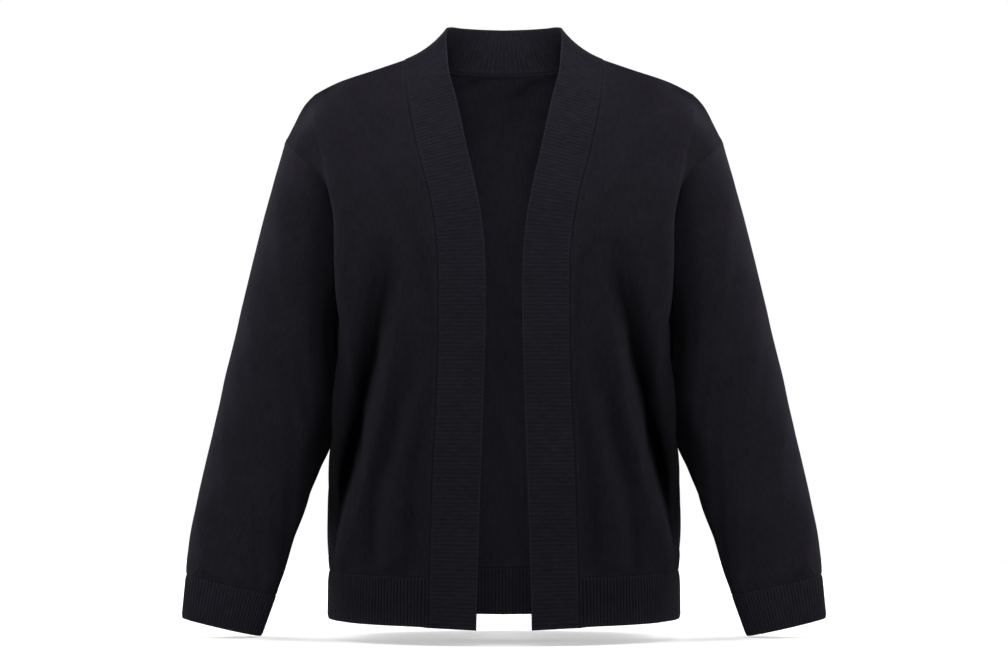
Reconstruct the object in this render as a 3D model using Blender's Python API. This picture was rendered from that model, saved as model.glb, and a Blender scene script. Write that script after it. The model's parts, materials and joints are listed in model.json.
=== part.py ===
"""An open-front knitted cardigan, filled out and hollow, each knitted piece a wall of its own.

The garment has its real size, with +Z up, its front towards -Y and the wearer's right at -X. The
origin is the middle of the neck, at the height where the shoulder seams meet the neckband. The
tables are in millimetres and give the wearer's left half, which is mirrored for the right. Sizes
are those of the outer face: a wall's thickness goes inwards.
"""
import math
from collections import namedtuple

import bpy
import numpy as np

MM = 0.001

# Cloth, in millimetres.
WALL = 2.0              # plain knit of the panels and sleeves
RIB_WALL = 1.8          # ribbed knit, between its ribs
RIB_RAISE = 0.8         # how far a rib stands above that
SEAM_GAP = 0.3          # between two pieces that are sewn together
SEAM_RELIEF = 0.2       # how much further each piece draws back at the wall's inner face
MITRE_LIMIT = 1.5       # most that a wall thickens where two pieces meet at an angle

HEM_DEEP = 51.5         # height of the hem's rib
HEM_FLARE = 1.2         # how much wider the hem's rib is at its lower edge
HEM_PITCH = 3.6         # from rib to rib
CUFF_PITCH = 3.5
BAND_PITCH = 4.4

# How finely each piece is divided.
FACE_COLUMNS = 9        # from the band, or the shoulder's neck end, to the front's crease
FLANK_COLUMNS = 3       # from the crease to the armhole or side seam
NECK_COLUMNS = 6        # half of the back neckline
ROW_STEPS = 2           # rows in each stretch of the tables below
RING_STEPS = 1

# The band: its seam and its free edge, from the centre of the back neck, over the shoulder's neck
# end and down the front. "hollow" is how far the middle of its width sinks.
BandRow = namedtuple("BandRow", "seam_x seam_y seam_z edge_x edge_y edge_z hollow")
BAND = [
    BandRow(0.0, 81.0, -11.0, 0.0, 58.0, 35.5, 2.0),
    BandRow(42.0, 75.5, -9.5, 24.0, 54.5, 36.0, 2.0),
    BandRow(77.0, 57.0, -6.0, 45.0, 42.0, 36.5, 2.5),
    BandRow(99.0, 30.0, -2.0, 58.0, 24.0, 36.5, 3.5),
    BandRow(107.0, 2.0, -0.5, 62.5, 5.0, 32.0, 4.0),
    BandRow(106.5, -19.0, -17.0, 61.5, -13.0, 9.0, 2.5),
    BandRow(104.5, -38.0, -35.0, 59.0, -33.0, -14.0, 1.0),
    BandRow(100.5, -58.0, -59.0, 51.0, -57.0, -44.0, 0.0),
    BandRow(95.0, -79.0, -86.0, 45.0, -78.0, -71.5, 0.0),
    BandRow(87.5, -98.0, -116.0, 38.0, -98.0, -104.0, 0.0),
    BandRow(80.0, -112.0, -144.0, 31.0, -115.0, -134.5, 0.0),
    BandRow(74.0, -123.0, -176.0, 24.0, -128.0, -170.0, 0.0),
    BandRow(70.0, -131.0, -213.0, 19.8, -137.0, -212.0, 0.0),
    BandRow(69.3, -136.0, -280.0, 19.0, -142.0, -280.0, 0.0),
    BandRow(71.0, -137.0, -365.0, 21.5, -143.0, -365.0, 0.0),
    BandRow(75.0, -138.0, -440.0, 24.0, -144.0, -440.0, 0.0),
    BandRow(77.0, -138.0, -500.0, 26.0, -144.0, -500.0, 0.0),
    BandRow(79.5, -138.0, -605.0, 29.0, -144.0, -607.2, 0.0),
]
SHOULDER_END = 4        # the band's row at the shoulder's neck end

# The shoulder seam, from the neck end out to the armhole. It bends down at the crease.
ShoulderPoint = namedtuple("ShoulderPoint", "x y z")
SHOULDER_FACE = [
    ShoulderPoint(107.0, 2.0, -0.5),
    ShoulderPoint(138.0, 2.0, -11.0),
    ShoulderPoint(179.0, 1.0, -25.0),
    ShoulderPoint(204.0, 0.0, -38.0),
]
SHOULDER_DROP = [
    ShoulderPoint(204.0, 0.0, -38.0),
    ShoulderPoint(216.0, 0.0, -51.0),
    ShoulderPoint(229.5, 0.0, -77.0),
    ShoulderPoint(236.0, 0.0, -89.0),
]

# Seams of the armhole, front and back, from the shoulder down to the underarm, and the side seam.
SeamPoint = namedtuple("SeamPoint", "x y z")
SHOULDER_TIP = SeamPoint(236.0, 0.0, -89.0)
UNDERARM = SeamPoint(169.0, 0.0, -282.0)
ARMHOLE_FRONT = [
    SHOULDER_TIP,
    SeamPoint(226.0, -21.0, -100.0),
    SeamPoint(205.0, -42.0, -118.0),
    SeamPoint(186.0, -54.0, -146.0),
    SeamPoint(173.0, -55.0, -186.0),
    SeamPoint(165.0, -45.0, -231.0),
    SeamPoint(163.0, -25.0, -262.0),
    UNDERARM,
]
ARMHOLE_BACK = [
    SHOULDER_TIP,
    SeamPoint(227.0, 21.0, -102.0),
    SeamPoint(210.0, 42.0, -122.0),
    SeamPoint(194.0, 54.0, -152.0),
    SeamPoint(182.0, 56.0, -190.0),
    SeamPoint(172.0, 46.0, -231.0),
    SeamPoint(167.0, 26.0, -262.0),
    UNDERARM,
]
SIDE_SEAM = [
    UNDERARM,
    SeamPoint(170.5, 0.0, -338.0),
    SeamPoint(179.0, 2.0, -400.0),
    SeamPoint(188.0, 3.0, -460.0),
    SeamPoint(190.0, 3.0, -507.0),
    SeamPoint(187.2, 3.0, -550.0),
]

# Rows of the front, below the shoulder: where it meets the band, and the crease where it turns
# away to the side. "round" is the power of the curve between them: 2 is an ellipse.
FrontRow = namedtuple("FrontRow", "band_z crease_x crease_y crease_z round")
FRONT = [
    FrontRow(-50.0, 206.0, -33.0, -68.0, 2.0),
    FrontRow(-100.0, 193.5, -58.0, -107.0, 2.1),
    FrontRow(-145.0, 185.0, -77.0, -148.0, 2.2),
    FrontRow(-190.0, 180.5, -86.0, -190.0, 2.3),
    FrontRow(-235.0, 177.0, -85.0, -236.0, 2.3),
    FrontRow(-270.0, 175.3, -75.0, -267.0, 2.3),
    FrontRow(-298.0, 175.5, -62.0, -292.0, 2.3),
    FrontRow(-352.0, 179.5, -38.0, -346.0, 2.3),
    FrontRow(-410.0, 185.5, -18.0, -405.0, 2.2),
    FrontRow(-465.0, 189.7, -10.0, -462.0, 2.2),
    FrontRow(-510.0, 190.6, -9.0, -508.0, 2.2),
    FrontRow(-552.5, 187.6, -9.0, -550.5, 2.2),
]

FLANK_TURN = 0.7        # how soon a row reaches the width of its side seam behind the crease

# Rows of the back, below the neckline and shoulder, from the centre to the same kind of crease.
# "neck" is the share of each that lies below the neckline.
BackRow = namedtuple("BackRow", "centre_y centre_z crease_x crease_y crease_z round neck")
BACK = [
    BackRow(92.0, -52.0, 207.0, 31.0, -72.0, 2.1, 0.54),
    BackRow(102.0, -100.0, 199.0, 55.0, -110.0, 2.2, 0.51),
    BackRow(108.0, -145.0, 191.0, 68.0, -152.0, 2.3, 0.48),
    BackRow(111.0, -190.0, 184.0, 72.0, -192.0, 2.4, 0.46),
    BackRow(112.0, -235.0, 178.0, 68.0, -236.0, 2.4, 0.44),
    BackRow(112.5, -270.0, 175.5, 60.0, -268.0, 2.4, 0.42),
    BackRow(113.0, -298.0, 175.0, 54.0, -292.0, 2.4, 0.41),
    BackRow(114.0, -352.0, 177.5, 44.0, -346.0, 2.3, 0.4),
    BackRow(115.0, -412.0, 184.5, 22.0, -406.0, 2.3, 0.4),
    BackRow(116.0, -467.0, 189.0, 16.0, -463.0, 2.2, 0.4),
    BackRow(116.0, -512.0, 190.0, 14.0, -509.0, 2.2, 0.4),
    BackRow(115.0, -556.0, 187.0, 14.0, -551.5, 2.2, 0.4),
]

# Directions in which the back leaves the neckline and the shoulder seam.
NAPE_FALL = (0.0, 0.35, -1.0)
YOKE_FALL = (0.0, 1.0, -0.2)
YOKE_START = 3          # the neckline's column from which it turns to the shoulder's direction

# Rings of the sleeve below the armhole, down to the cuff's lower edge: the outer and the inner
# point of each, how far its middle lies back, half its depth, and how far its front and back are
# drawn in towards the body.
Ring = namedtuple("Ring", "outer_x outer_z inner_x inner_z back half_depth drawn")
SLEEVE = [
    Ring(243.5, -116.0, 175.5, -295.0, 0.0, 55.0, 20.0),
    Ring(254.5, -154.0, 177.0, -310.0, 0.0, 59.0, 12.0),
    Ring(264.5, -192.0, 178.0, -326.0, 1.0, 61.0, 7.0),
    Ring(274.3, -232.0, 179.2, -343.0, 2.0, 61.5, 4.0),
    Ring(284.0, -271.0, 180.7, -360.0, 3.0, 60.0, 2.0),
    Ring(293.0, -310.0, 182.5, -378.0, 4.0, 57.0, 1.0),
    Ring(302.5, -349.0, 184.5, -396.0, 5.0, 53.5, 0.0),
    Ring(312.0, -391.0, 188.0, -418.0, 5.0, 50.0, 0.0),
    Ring(321.3, -432.0, 200.0, -447.0, 3.0, 45.5, 0.0),
    Ring(330.8, -474.0, 215.5, -487.0, 0.0, 40.0, 0.0),
    Ring(338.8, -515.0, 231.5, -532.0, -3.0, 34.0, 0.0),
    Ring(342.3, -556.0, 246.0, -578.0, -6.0, 27.0, 0.0),
]
CUFF_END = Ring(346.8, -603.0, 262.0, -622.5, -9.0, 21.5, 0.0)

# The largest folds: a line across the front view from its top, over its middle, to its foot, how
# wide it is to each side and how far it stands out, or sinks if that is negative.
Fold = namedtuple("Fold", "top_x top_z mid_x mid_z foot_x foot_z width height")
FRONT_FOLDS_RIGHT = [
    Fold(104.0, -225.0, 138.0, -370.0, 180.0, -548.0, 11.0, 4.5),
    Fold(127.0, -205.0, 151.0, -345.0, 187.0, -500.0, 12.0, -5.0),
    Fold(80.0, -325.0, 104.0, -415.0, 128.0, -545.0, 11.0, 2.6),
    Fold(93.0, -300.0, 120.0, -410.0, 152.0, -540.0, 11.0, -2.6),
    Fold(160.0, -55.0, 112.0, -143.0, 86.0, -205.0, 14.0, 2.2),
]
FRONT_FOLDS_LEFT = [
    Fold(99.0, -215.0, 139.0, -365.0, 182.0, -530.0, 11.0, 4.2),
    Fold(118.0, -222.0, 152.0, -350.0, 185.0, -490.0, 12.0, -4.8),
    Fold(80.0, -318.0, 106.0, -405.0, 134.0, -548.0, 11.0, 2.4),
    Fold(94.0, -310.0, 128.0, -430.0, 156.0, -545.0, 11.0, -2.4),
    Fold(152.0, -62.0, 118.0, -150.0, 92.0, -215.0, 14.0, 2.0),
]
BACK_FOLDS = [
    Fold(-88.0, -170.0, -118.0, -330.0, -140.0, -548.0, 16.0, 4.0),
    Fold(-112.0, -190.0, -143.0, -340.0, -166.0, -530.0, 15.0, -4.2),
    Fold(-36.0, -260.0, -52.0, -390.0, -62.0, -545.0, 17.0, 2.6),
    Fold(92.0, -160.0, 124.0, -325.0, 148.0, -545.0, 16.0, 4.2),
    Fold(116.0, -205.0, 148.0, -350.0, 170.0, -535.0, 15.0, -4.0),
    Fold(30.0, -300.0, 48.0, -410.0, 66.0, -548.0, 17.0, 2.4),
    Fold(2.0, -40.0, 4.0, -120.0, 8.0, -230.0, 20.0, -2.0),
]
SLEEVE_FOLDS = [
    Fold(240.0, -120.0, 236.0, -200.0, 231.0, -275.0, 10.0, 3.0),
    Fold(218.0, -130.0, 214.0, -190.0, 208.0, -262.0, 10.0, -3.0),
    Fold(244.0, -255.0, 222.0, -320.0, 204.0, -400.0, 10.0, -3.2),
    Fold(262.0, -270.0, 244.0, -350.0, 224.0, -430.0, 11.0, 2.6),
    Fold(300.0, -385.0, 277.0, -440.0, 258.0, -500.0, 10.0, -2.4),
    Fold(312.0, -420.0, 296.0, -480.0, 280.0, -545.0, 10.0, 2.4),
]
BACK_OF_ELBOW = [
    Fold(250.0, -150.0, 236.0, -225.0, 226.0, -300.0, 11.0, 2.8),
    Fold(286.0, -330.0, 262.0, -372.0, 238.0, -420.0, 10.0, -3.2),
    Fold(292.0, -372.0, 272.0, -412.0, 250.0, -462.0, 10.0, 3.0),
    Fold(318.0, -440.0, 298.0, -488.0, 276.0, -548.0, 10.0, -2.4),
]

CLOTH_COLOUR = (0.012, 0.012, 0.015, 1.0)
RIB_COLOUR = (0.010, 0.010, 0.013, 1.0)
BAND_COLOUR = (0.014, 0.014, 0.018, 1.0)
CLOTH_ROUGHNESS = 0.95

# A net is a grid of outer points, rows down the piece and columns across it, seen from outside
# with the rows running down and the columns to the right. "closed" says that it goes all round.
Net = namedtuple("Net", "points closed")


def unit(vectors):
    """Vectors of length 1."""
    length = np.linalg.norm(vectors, axis=-1, keepdims=True)
    return vectors / np.maximum(length, 1e-12)


def smooth(rows, steps, leave=None):
    """A smooth surface or line through rows of points, with so many steps from row to row.

    It leaves the first row in the directions given, or else as the next rows suggest.
    """
    rows = np.asarray(rows, float)
    chord = np.linalg.norm(np.diff(rows, axis=0), axis=-1, keepdims=True)
    span = np.maximum(chord, 1e-6) ** 0.5
    slope = np.diff(rows, axis=0) / span
    across = (rows[2:] - rows[:-2]) / (span[1:] + span[:-1])
    inner = slope[:-1] - across + slope[1:]
    first = 1.5 * slope[0] - 0.5 * inner[0] if leave is None else unit(leave) * span[0]
    last = 1.5 * slope[-1] - 0.5 * inner[-1]
    tangent = np.concatenate([first[None], inner, last[None]])
    result = []
    for index in range(len(rows) - 1):
        for step in range(steps):
            t = step / steps
            start = (2 * t ** 3 - 3 * t ** 2 + 1) * rows[index]
            leave = (t ** 3 - 2 * t ** 2 + t) * span[index] * tangent[index]
            end = (3 * t ** 2 - 2 * t ** 3) * rows[index + 1]
            arrive = (t ** 3 - t ** 2) * span[index] * tangent[index + 1]
            result.append(start + leave + end + arrive)
    result.append(rows[-1])
    return np.array(result)


def along(line):
    """How far each point of a line lies from its start."""
    steps = np.linalg.norm(np.diff(line, axis=0), axis=-1)
    return np.concatenate([[0.0], np.cumsum(steps)])


def evenly(line, count):
    """The line again, in so many equal steps."""
    length = along(line)
    places = np.linspace(0.0, length[-1], count + 1)
    return np.stack([np.interp(places, length, line[:, axis]) for axis in range(3)], axis=-1)


def band_curve():
    """The band's seam, free edge and hollow, finely, against the row of its table."""
    table = np.array(BAND)
    steps = 24
    seam = smooth(table[:, 0:3], steps)
    edge = smooth(table[:, 3:6], steps)
    row = np.arange(len(seam)) / steps
    hollow = np.interp(row, np.arange(len(table)), table[:, 6])
    return row, seam, edge, hollow


def band_sections(rows):
    """The band's seam points, free edge points and hollows at rows of its table."""
    fine_row, seam, edge, hollow = band_curve()
    seams = np.stack([np.interp(rows, fine_row, seam[:, axis]) for axis in range(3)], axis=-1)
    edges = np.stack([np.interp(rows, fine_row, edge[:, axis]) for axis in range(3)], axis=-1)
    return seams, edges, np.interp(rows, fine_row, hollow)


def neck_rows():
    """Rows of the band's table, evenly along the seam from the back's centre to the shoulder."""
    fine_row, seam, _, _ = band_curve()
    half = fine_row <= SHOULDER_END
    length = along(seam[half])
    return np.interp(np.linspace(0.0, length[-1], NECK_COLUMNS + 1), length, fine_row[half])


def front_rows():
    """Rows of the band's table at the rows of the front panel, and at the hem's lower edge."""
    fine_row, seam, _, _ = band_curve()
    down = fine_row >= SHOULDER_END
    levels = [0.0] + [row.band_z for row in FRONT]
    places = np.interp(-np.array(levels), -seam[down][:, 2], fine_row[down])
    return np.append(smooth_numbers(places, ROW_STEPS), len(BAND) - 1)


def smooth_numbers(values, steps):
    """Numbers in equal steps between the given ones."""
    places = np.arange((len(values) - 1) * steps + 1) / steps
    return np.interp(places, np.arange(len(values)), values)


def superellipse(start, crease, power):
    """A line round from a start near the middle to the crease, where it runs front to back."""
    reach = crease[0]
    share = min(start[0] / reach, 0.999)
    depth = (start[1] - crease[1]) / (1.0 - share ** power) ** (1.0 / power)
    first = math.asin(share ** (power / 2.0))
    angles = np.linspace(first, math.pi / 2.0, 200)
    x = reach * np.sin(angles) ** (2.0 / power)
    y = crease[1] + depth * np.maximum(np.cos(angles), 0.0) ** (2.0 / power)
    line = np.stack([x, y, np.zeros_like(x)], axis=-1)
    length = along(line)
    line[:, 2] = start[2] + (crease[2] - start[2]) * length / length[-1]
    return line


def flank(crease, side):
    """A line from the crease back to the seam at the side."""
    t = np.linspace(0.0, 1.0, 60)[:, None]
    crease, side = np.array(crease), np.array(side)
    turn = (crease + side) / 2.0
    turn[0] = crease[0] + FLANK_TURN * (side[0] - crease[0])
    return (1 - t) ** 2 * crease + 2 * t * (1 - t) * turn + t ** 2 * side


def parted(line, share, first, second):
    """The line in two parts, the first a share of its length, each in so many equal steps."""
    length = along(line)
    split = share * length[-1]
    rest = np.linspace(split, length[-1], second + 1)[1:]
    places = np.concatenate([np.linspace(0.0, split, first + 1), rest])
    return np.stack([np.interp(places, length, line[:, axis]) for axis in range(3)], axis=-1)


def shoulder_row():
    """The shoulder seam, from its neck end to the armhole."""
    face = evenly(smooth(SHOULDER_FACE, 12), FACE_COLUMNS)
    drop = evenly(smooth(SHOULDER_DROP, 12), FLANK_COLUMNS)
    return np.concatenate([face, drop[1:]])


def side_edge(armhole):
    """A panel's outer edge: the armhole down to the underarm, then the side seam."""
    upper = smooth(armhole, ROW_STEPS)
    lower = smooth(SIDE_SEAM, ROW_STEPS)
    return np.concatenate([upper, lower[1:]])


def fold_height(points, folds):
    """How far folds move points out, by where these lie in the front view."""
    x, z = points[..., 0], points[..., 2]
    height = np.zeros_like(x)
    for fold in folds:
        levels = np.array([fold.foot_z, fold.mid_z, fold.top_z])
        places = np.array([fold.foot_x, fold.mid_x, fold.top_x])
        curve = np.polyfit(levels, places, 2)
        slope = np.polyval(np.polyder(curve), z)
        off = (x - np.polyval(curve, z)) / np.sqrt(1.0 + slope ** 2)
        share = np.clip((fold.top_z - z) / (fold.top_z - fold.foot_z), 0.0, 1.0)
        height += fold.height * np.sin(np.pi * share) ** 0.8 * np.exp(-((off / fold.width) ** 2))
    return height


def grid_normals(points, closed):
    """Outward directions at a net's points."""
    down = np.gradient(points, axis=0)
    if closed:
        across = (np.roll(points, -1, axis=1) - np.roll(points, 1, axis=1)) / 2.0
    else:
        across = np.gradient(points, axis=1)
    return unit(np.cross(down, across))


def folded(points, folds, closed=False):
    """A net with its folds raised, and its seams where they were."""
    height = fold_height(points, folds)
    height[[0, -1]] = 0.0
    height[[1, -2]] *= 0.6
    if not closed:
        height[:, [0, -1]] = 0.0
        height[:, [1, -2]] *= 0.6
    return points + grid_normals(points, closed) * height[..., None]


def front_points():
    """The left front's points, from its band seam to its side, before its folds."""
    starts, _, _ = band_sections(front_rows()[:-1])
    edge = side_edge(ARMHOLE_FRONT)
    rows = [shoulder_row()]
    for index, row in enumerate(FRONT, start=1):
        crease = (row.crease_x, row.crease_y, row.crease_z)
        face = evenly(superellipse(starts[index * ROW_STEPS], crease, row.round), FACE_COLUMNS)
        turned = evenly(flank(crease, edge[index * ROW_STEPS]), FLANK_COLUMNS)
        rows.append(np.concatenate([face, turned[1:]]))
    points = smooth(rows, ROW_STEPS)
    points[:, 0] = starts
    points[:, -1] = edge
    return points


def back_points():
    """The left half of the back, from its centre to its side, before its folds."""
    neckline, _, _ = band_sections(neck_rows())
    edge = side_edge(ARMHOLE_BACK)
    rows = [np.concatenate([neckline, shoulder_row()[1:]])]
    for index, row in enumerate(BACK, start=1):
        start = (0.0, row.centre_y, row.centre_z)
        crease = (row.crease_x, row.crease_y, row.crease_z)
        face = parted(superellipse(start, crease, row.round), row.neck, NECK_COLUMNS, FACE_COLUMNS)
        turned = evenly(flank(crease, edge[index * ROW_STEPS]), FLANK_COLUMNS)
        rows.append(np.concatenate([face, turned[1:]]))
    points = smooth(rows, ROW_STEPS, back_yoke())
    points[:, -1] = edge
    return points


def back_yoke():
    """Directions in which the back leaves its top: down below the neck, backwards at the shoulder."""
    columns = NECK_COLUMNS + FACE_COLUMNS + FLANK_COLUMNS + 1
    share = np.clip((np.arange(columns) - YOKE_START) / (NECK_COLUMNS - YOKE_START), 0.0, 1.0)[:, None]
    return np.array(NAPE_FALL) * (1.0 - share) + np.array(YOKE_FALL) * share


def mirrored(points):
    """The same points on the other side of the body, read the other way across."""
    return (points * np.array([-1.0, 1.0, 1.0]))[:, ::-1]


def ring_points(ring, half_columns):
    """One ring of the sleeve, from its outer point over the back, inner side and front."""
    outer = np.array([ring.outer_x, ring.back, ring.outer_z])
    inner = np.array([ring.inner_x, ring.back, ring.inner_z])
    angle = np.arange(2 * half_columns) * math.pi / half_columns
    points = (outer + inner) / 2.0 + np.cos(angle)[:, None] * (outer - inner) / 2.0
    points[:, 0] -= ring.drawn * np.sin(angle) ** 4
    points[:, 1] += ring.half_depth * np.sin(angle)
    return points


def sleeve_points():
    """The left sleeve's points, from the armhole to the cuff, and round from its outer line."""
    front = smooth(ARMHOLE_FRONT, ROW_STEPS)
    back = smooth(ARMHOLE_BACK, ROW_STEPS)
    rings = [np.concatenate([back, front[-2:0:-1]])]
    rings += [ring_points(ring, len(front) - 1) for ring in SLEEVE]
    return smooth(rings, RING_STEPS)


def sleeve_folded(points, front_folds, back_folds):
    """The sleeve with its own folds on its front and its back."""
    half = points.shape[1] // 2
    height = fold_height(points, front_folds)
    height[:, :half] = fold_height(points, back_folds)[:, :half]
    height[:, [0, half]] = 0.0
    height[[0, -1]] = 0.0
    height[1] *= 0.5
    return points + grid_normals(points, True) * height[..., None]


def rib_places(length, pitch):
    """Places along a line, two to a rib: in each groove and on each rib."""
    count = 2 * max(int(round(length / pitch)), 2)
    return np.linspace(0.0, length, count + 1)


def read_at(places, length, values):
    """Values given at lengths along a line, read at places along it."""
    return np.stack([np.interp(places, length, values[:, axis]) for axis in range(3)], axis=-1)


def wall_faces(points, outer, inner, closed, outer_places, inner_places):
    """Faces of a closed wall between an outer and an inner grid of point numbers.

    The places are those of the columns along the wall, from 0 to 1.
    """
    faces = []
    for grid, outward in ((outer, True), (inner, False)):
        rows, columns = grid.shape
        for i in range(rows - 1):
            for j in range(columns if closed else columns - 1):
                k = (j + 1) % columns
                face = (grid[i, j], grid[i + 1, j], grid[i + 1, k], grid[i, k])
                faces.append(face if outward else face[::-1])
    for row, forward in ((0, True), (-1, False)):
        above, below = outer[row], inner[row]
        if closed:
            above, below = np.append(above, above[0]), np.append(below, below[0])
        faces += rim_faces(points, above, below, outer_places, inner_places, forward)
    if not closed:
        rows = np.linspace(0.0, 1.0, len(outer))
        faces += rim_faces(points, outer[:, 0], inner[:, 0], rows, rows, False)
        faces += rim_faces(points, outer[:, -1], inner[:, -1], rows, rows, True)
    return [tuple(int(number) for number in face) for face in faces]


def rim_faces(points, outer, inner, outer_places, inner_places, forward):
    """Triangles across the wall's edge, between its outer and its inner line.

    The line whose next stretch has its middle first is followed first. Where both are level, the
    shorter diagonal is taken, so that left and right pieces are alike.
    """
    faces, i, j = [], 0, 0
    while i < len(outer) - 1 or j < len(inner) - 1:
        if j == len(inner) - 1:
            along_outer = True
        elif i == len(outer) - 1:
            along_outer = False
        else:
            ahead = sum(inner_places[j:j + 2]) - sum(outer_places[i:i + 2])
            if abs(ahead) < 1e-9:
                to_outer = np.linalg.norm(points[outer[i + 1]] - points[inner[j]])
                to_inner = np.linalg.norm(points[outer[i]] - points[inner[j + 1]])
                ahead = to_inner - to_outer
            along_outer = ahead > 0.0
        if along_outer:
            face = (outer[i], outer[i + 1], inner[j])
            i += 1
        else:
            face = (outer[i], inner[j + 1], inner[j])
            j += 1
        faces.append(face if forward else face[::-1])
    return faces


class Seams:
    """Directions in which the pieces' edges end, shared where pieces meet.

    Pieces that carry on from each other are one surface. Where surfaces meet at an angle, the
    direction lies halfway between theirs, as in a mitre.
    """

    def __init__(self):
        self.surfaces = {}

    def key(self, point):
        return tuple(np.round(point, 3) + 0.0)

    def add(self, surface, net):
        """Count a net's outward directions at its points, as part of a surface."""
        sums = self.surfaces.setdefault(surface, {})
        normals = grid_normals(net.points, net.closed)
        for point, normal in zip(net.points.reshape(-1, 3), normals.reshape(-1, 3)):
            sums[self.key(point)] = sums.get(self.key(point), 0.0) + normal

    def at(self, point):
        """The shared outward direction at a point."""
        key = self.key(point)
        return unit(sum(unit(sums[key]) for sums in self.surfaces.values() if key in sums))

    def directions(self, net):
        """The shared outward directions at a net's points."""
        flat = [self.at(point) for point in net.points.reshape(-1, 3)]
        return np.array(flat).reshape(net.points.shape)


def trimmed(net, normals, distance):
    """The net's points, with its edges drawn back by a distance."""
    points = net.points.copy()
    edges = [(0, 1, 0), (-1, -2, 0)]
    if not net.closed:
        edges += [(0, 1, 1), (-1, -2, 1)]
    for edge, inside, axis in edges:
        line = np.take(net.points, edge, axis=axis)
        into = np.take(net.points, inside, axis=axis) - line
        normal = np.take(normals, edge, axis=axis)
        if net.closed:
            run = np.roll(line, -1, axis=0) - np.roll(line, 1, axis=0)
        else:
            run = np.gradient(line, axis=0)
        run = unit(run)
        into = into - normal * (into * normal).sum(-1, keepdims=True)
        into = unit(into - run * (into * run).sum(-1, keepdims=True))
        move = into * distance
        if axis == 0:
            points[edge] += move
        else:
            points[:, edge] += move
    return points


def wall_points(net, seams, thickness):
    """The wall's outer points, its inner points, and the directions from inner to outer.

    A wall is thicker where two pieces meet at an angle, as a mitre is.
    """
    normals = seams.directions(net)
    own = grid_normals(net.points, net.closed)
    lean = np.clip((own * normals).sum(-1, keepdims=True), 1.0 / MITRE_LIMIT, 1.0)
    outer = trimmed(net, normals, SEAM_GAP / 2.0)
    inner = trimmed(net, normals, SEAM_GAP / 2.0 + SEAM_RELIEF) - normals * thickness / lean
    return outer, inner, normals


def make_object(name, points, faces, material):
    """An object of the given points, in millimetres, and faces."""
    mesh = bpy.data.meshes.new(name)
    mesh.from_pydata([tuple(point * MM) for point in points], [], faces)
    mesh.update()
    mesh.shade_smooth()
    mesh.set_sharp_from_angle(angle=math.radians(30.0))
    mesh.materials.append(material)
    piece = bpy.data.objects.new(name, mesh)
    bpy.context.scene.collection.objects.link(piece)
    return piece


def cloth_material(name, colour):
    """A matt knitted cloth."""
    material = bpy.data.materials.new(name)
    material.use_nodes = True
    shader = material.node_tree.nodes["Principled BSDF"]
    shader.inputs["Base Color"].default_value = colour
    shader.inputs["Roughness"].default_value = CLOTH_ROUGHNESS
    shader.inputs["Metallic"].default_value = 0.0
    return material


def make_wall(name, outer, inner, net, colour, outer_places, inner_places):
    """A closed wall between an outer and an inner grid of points."""
    count = outer.shape[0] * outer.shape[1]
    outer_numbers = np.arange(count).reshape(outer.shape[:2])
    inner_count = inner.shape[0] * inner.shape[1]
    inner_numbers = count + np.arange(inner_count).reshape(inner.shape[:2])
    points = np.concatenate([outer.reshape(-1, 3), inner.reshape(-1, 3)])
    faces = wall_faces(
        points, outer_numbers, inner_numbers, net.closed, outer_places, inner_places
    )
    return make_object(name, points, faces, cloth_material(name, colour))


def make_plain(name, net, seams):
    """A plain knitted piece."""
    outer, inner, _ = wall_points(net, seams, WALL)
    columns = outer.shape[1] + (1 if net.closed else 0)
    places = np.linspace(0.0, 1.0, columns)
    return make_wall(name, outer, inner, net, CLOTH_COLOUR, places, places)


def joined(grid, closed):
    """A grid whose first column is repeated at its end where it goes all round."""
    return np.concatenate([grid, grid[:, :1]], axis=1) if closed else grid


def make_ribbed(name, net, seams, pitch, colour):
    """A ribbed piece, whose ribs run down the net's rows and stand side by side across it."""
    plain, inner, normals = wall_points(net, seams, RIB_WALL)
    lines, ways = joined(plain, net.closed), joined(normals, net.closed)
    guide = lines.mean(axis=0)
    length = along(guide)
    places = rib_places(length[-1], pitch)
    raised = np.where(np.arange(len(places)) % 2 == 1, RIB_RAISE, 0.0)[:, None]
    outer = []
    for line, way in zip(lines, ways):
        outer.append(read_at(places, length, line) + read_at(places, length, way) * raised)
    outer = np.array(outer)
    if net.closed:
        outer = outer[:, :-1]
    return make_wall(name, outer, inner, net, colour, places / length[-1], length / length[-1])


def hem_net(panel, band_foot=None):
    """The hem's rib below a panel, whose inner edge ends at the band's foot where it has one."""
    top = panel.points[-1]
    outward = unit(top * np.array([1.0, 1.0, 0.0]))
    foot = top + np.array([0.0, 0.0, -HEM_DEEP]) + outward * HEM_FLARE
    if band_foot is not None:
        nearest = 0 if top[0, 0] > 0.0 else -1
        foot[nearest] = band_foot
    return Net(np.stack([top, foot]), False)


def band_points():
    """The left half of the band: its columns run from the back's centre to the hem, its rows from
    its seam to its free edge."""
    seam, edge, hollow = band_sections(np.concatenate([neck_rows(), front_rows()[1:]]))
    middle = (seam + edge) / 2.0
    out = unit(np.cross(edge - seam, np.gradient(middle, axis=0)))
    out[0, 0] = 0.0     # the back's centre lies on the plane of symmetry
    return np.stack([seam, middle - out * hollow[:, None], edge])


def surface_of(name):
    """The surface that a piece carries on: the arm's, the band's or the body's."""
    if name.startswith(("sleeve", "cuff")):
        return name.replace("cuff", "sleeve")
    return "band" if name.startswith("band") else "body"


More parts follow.
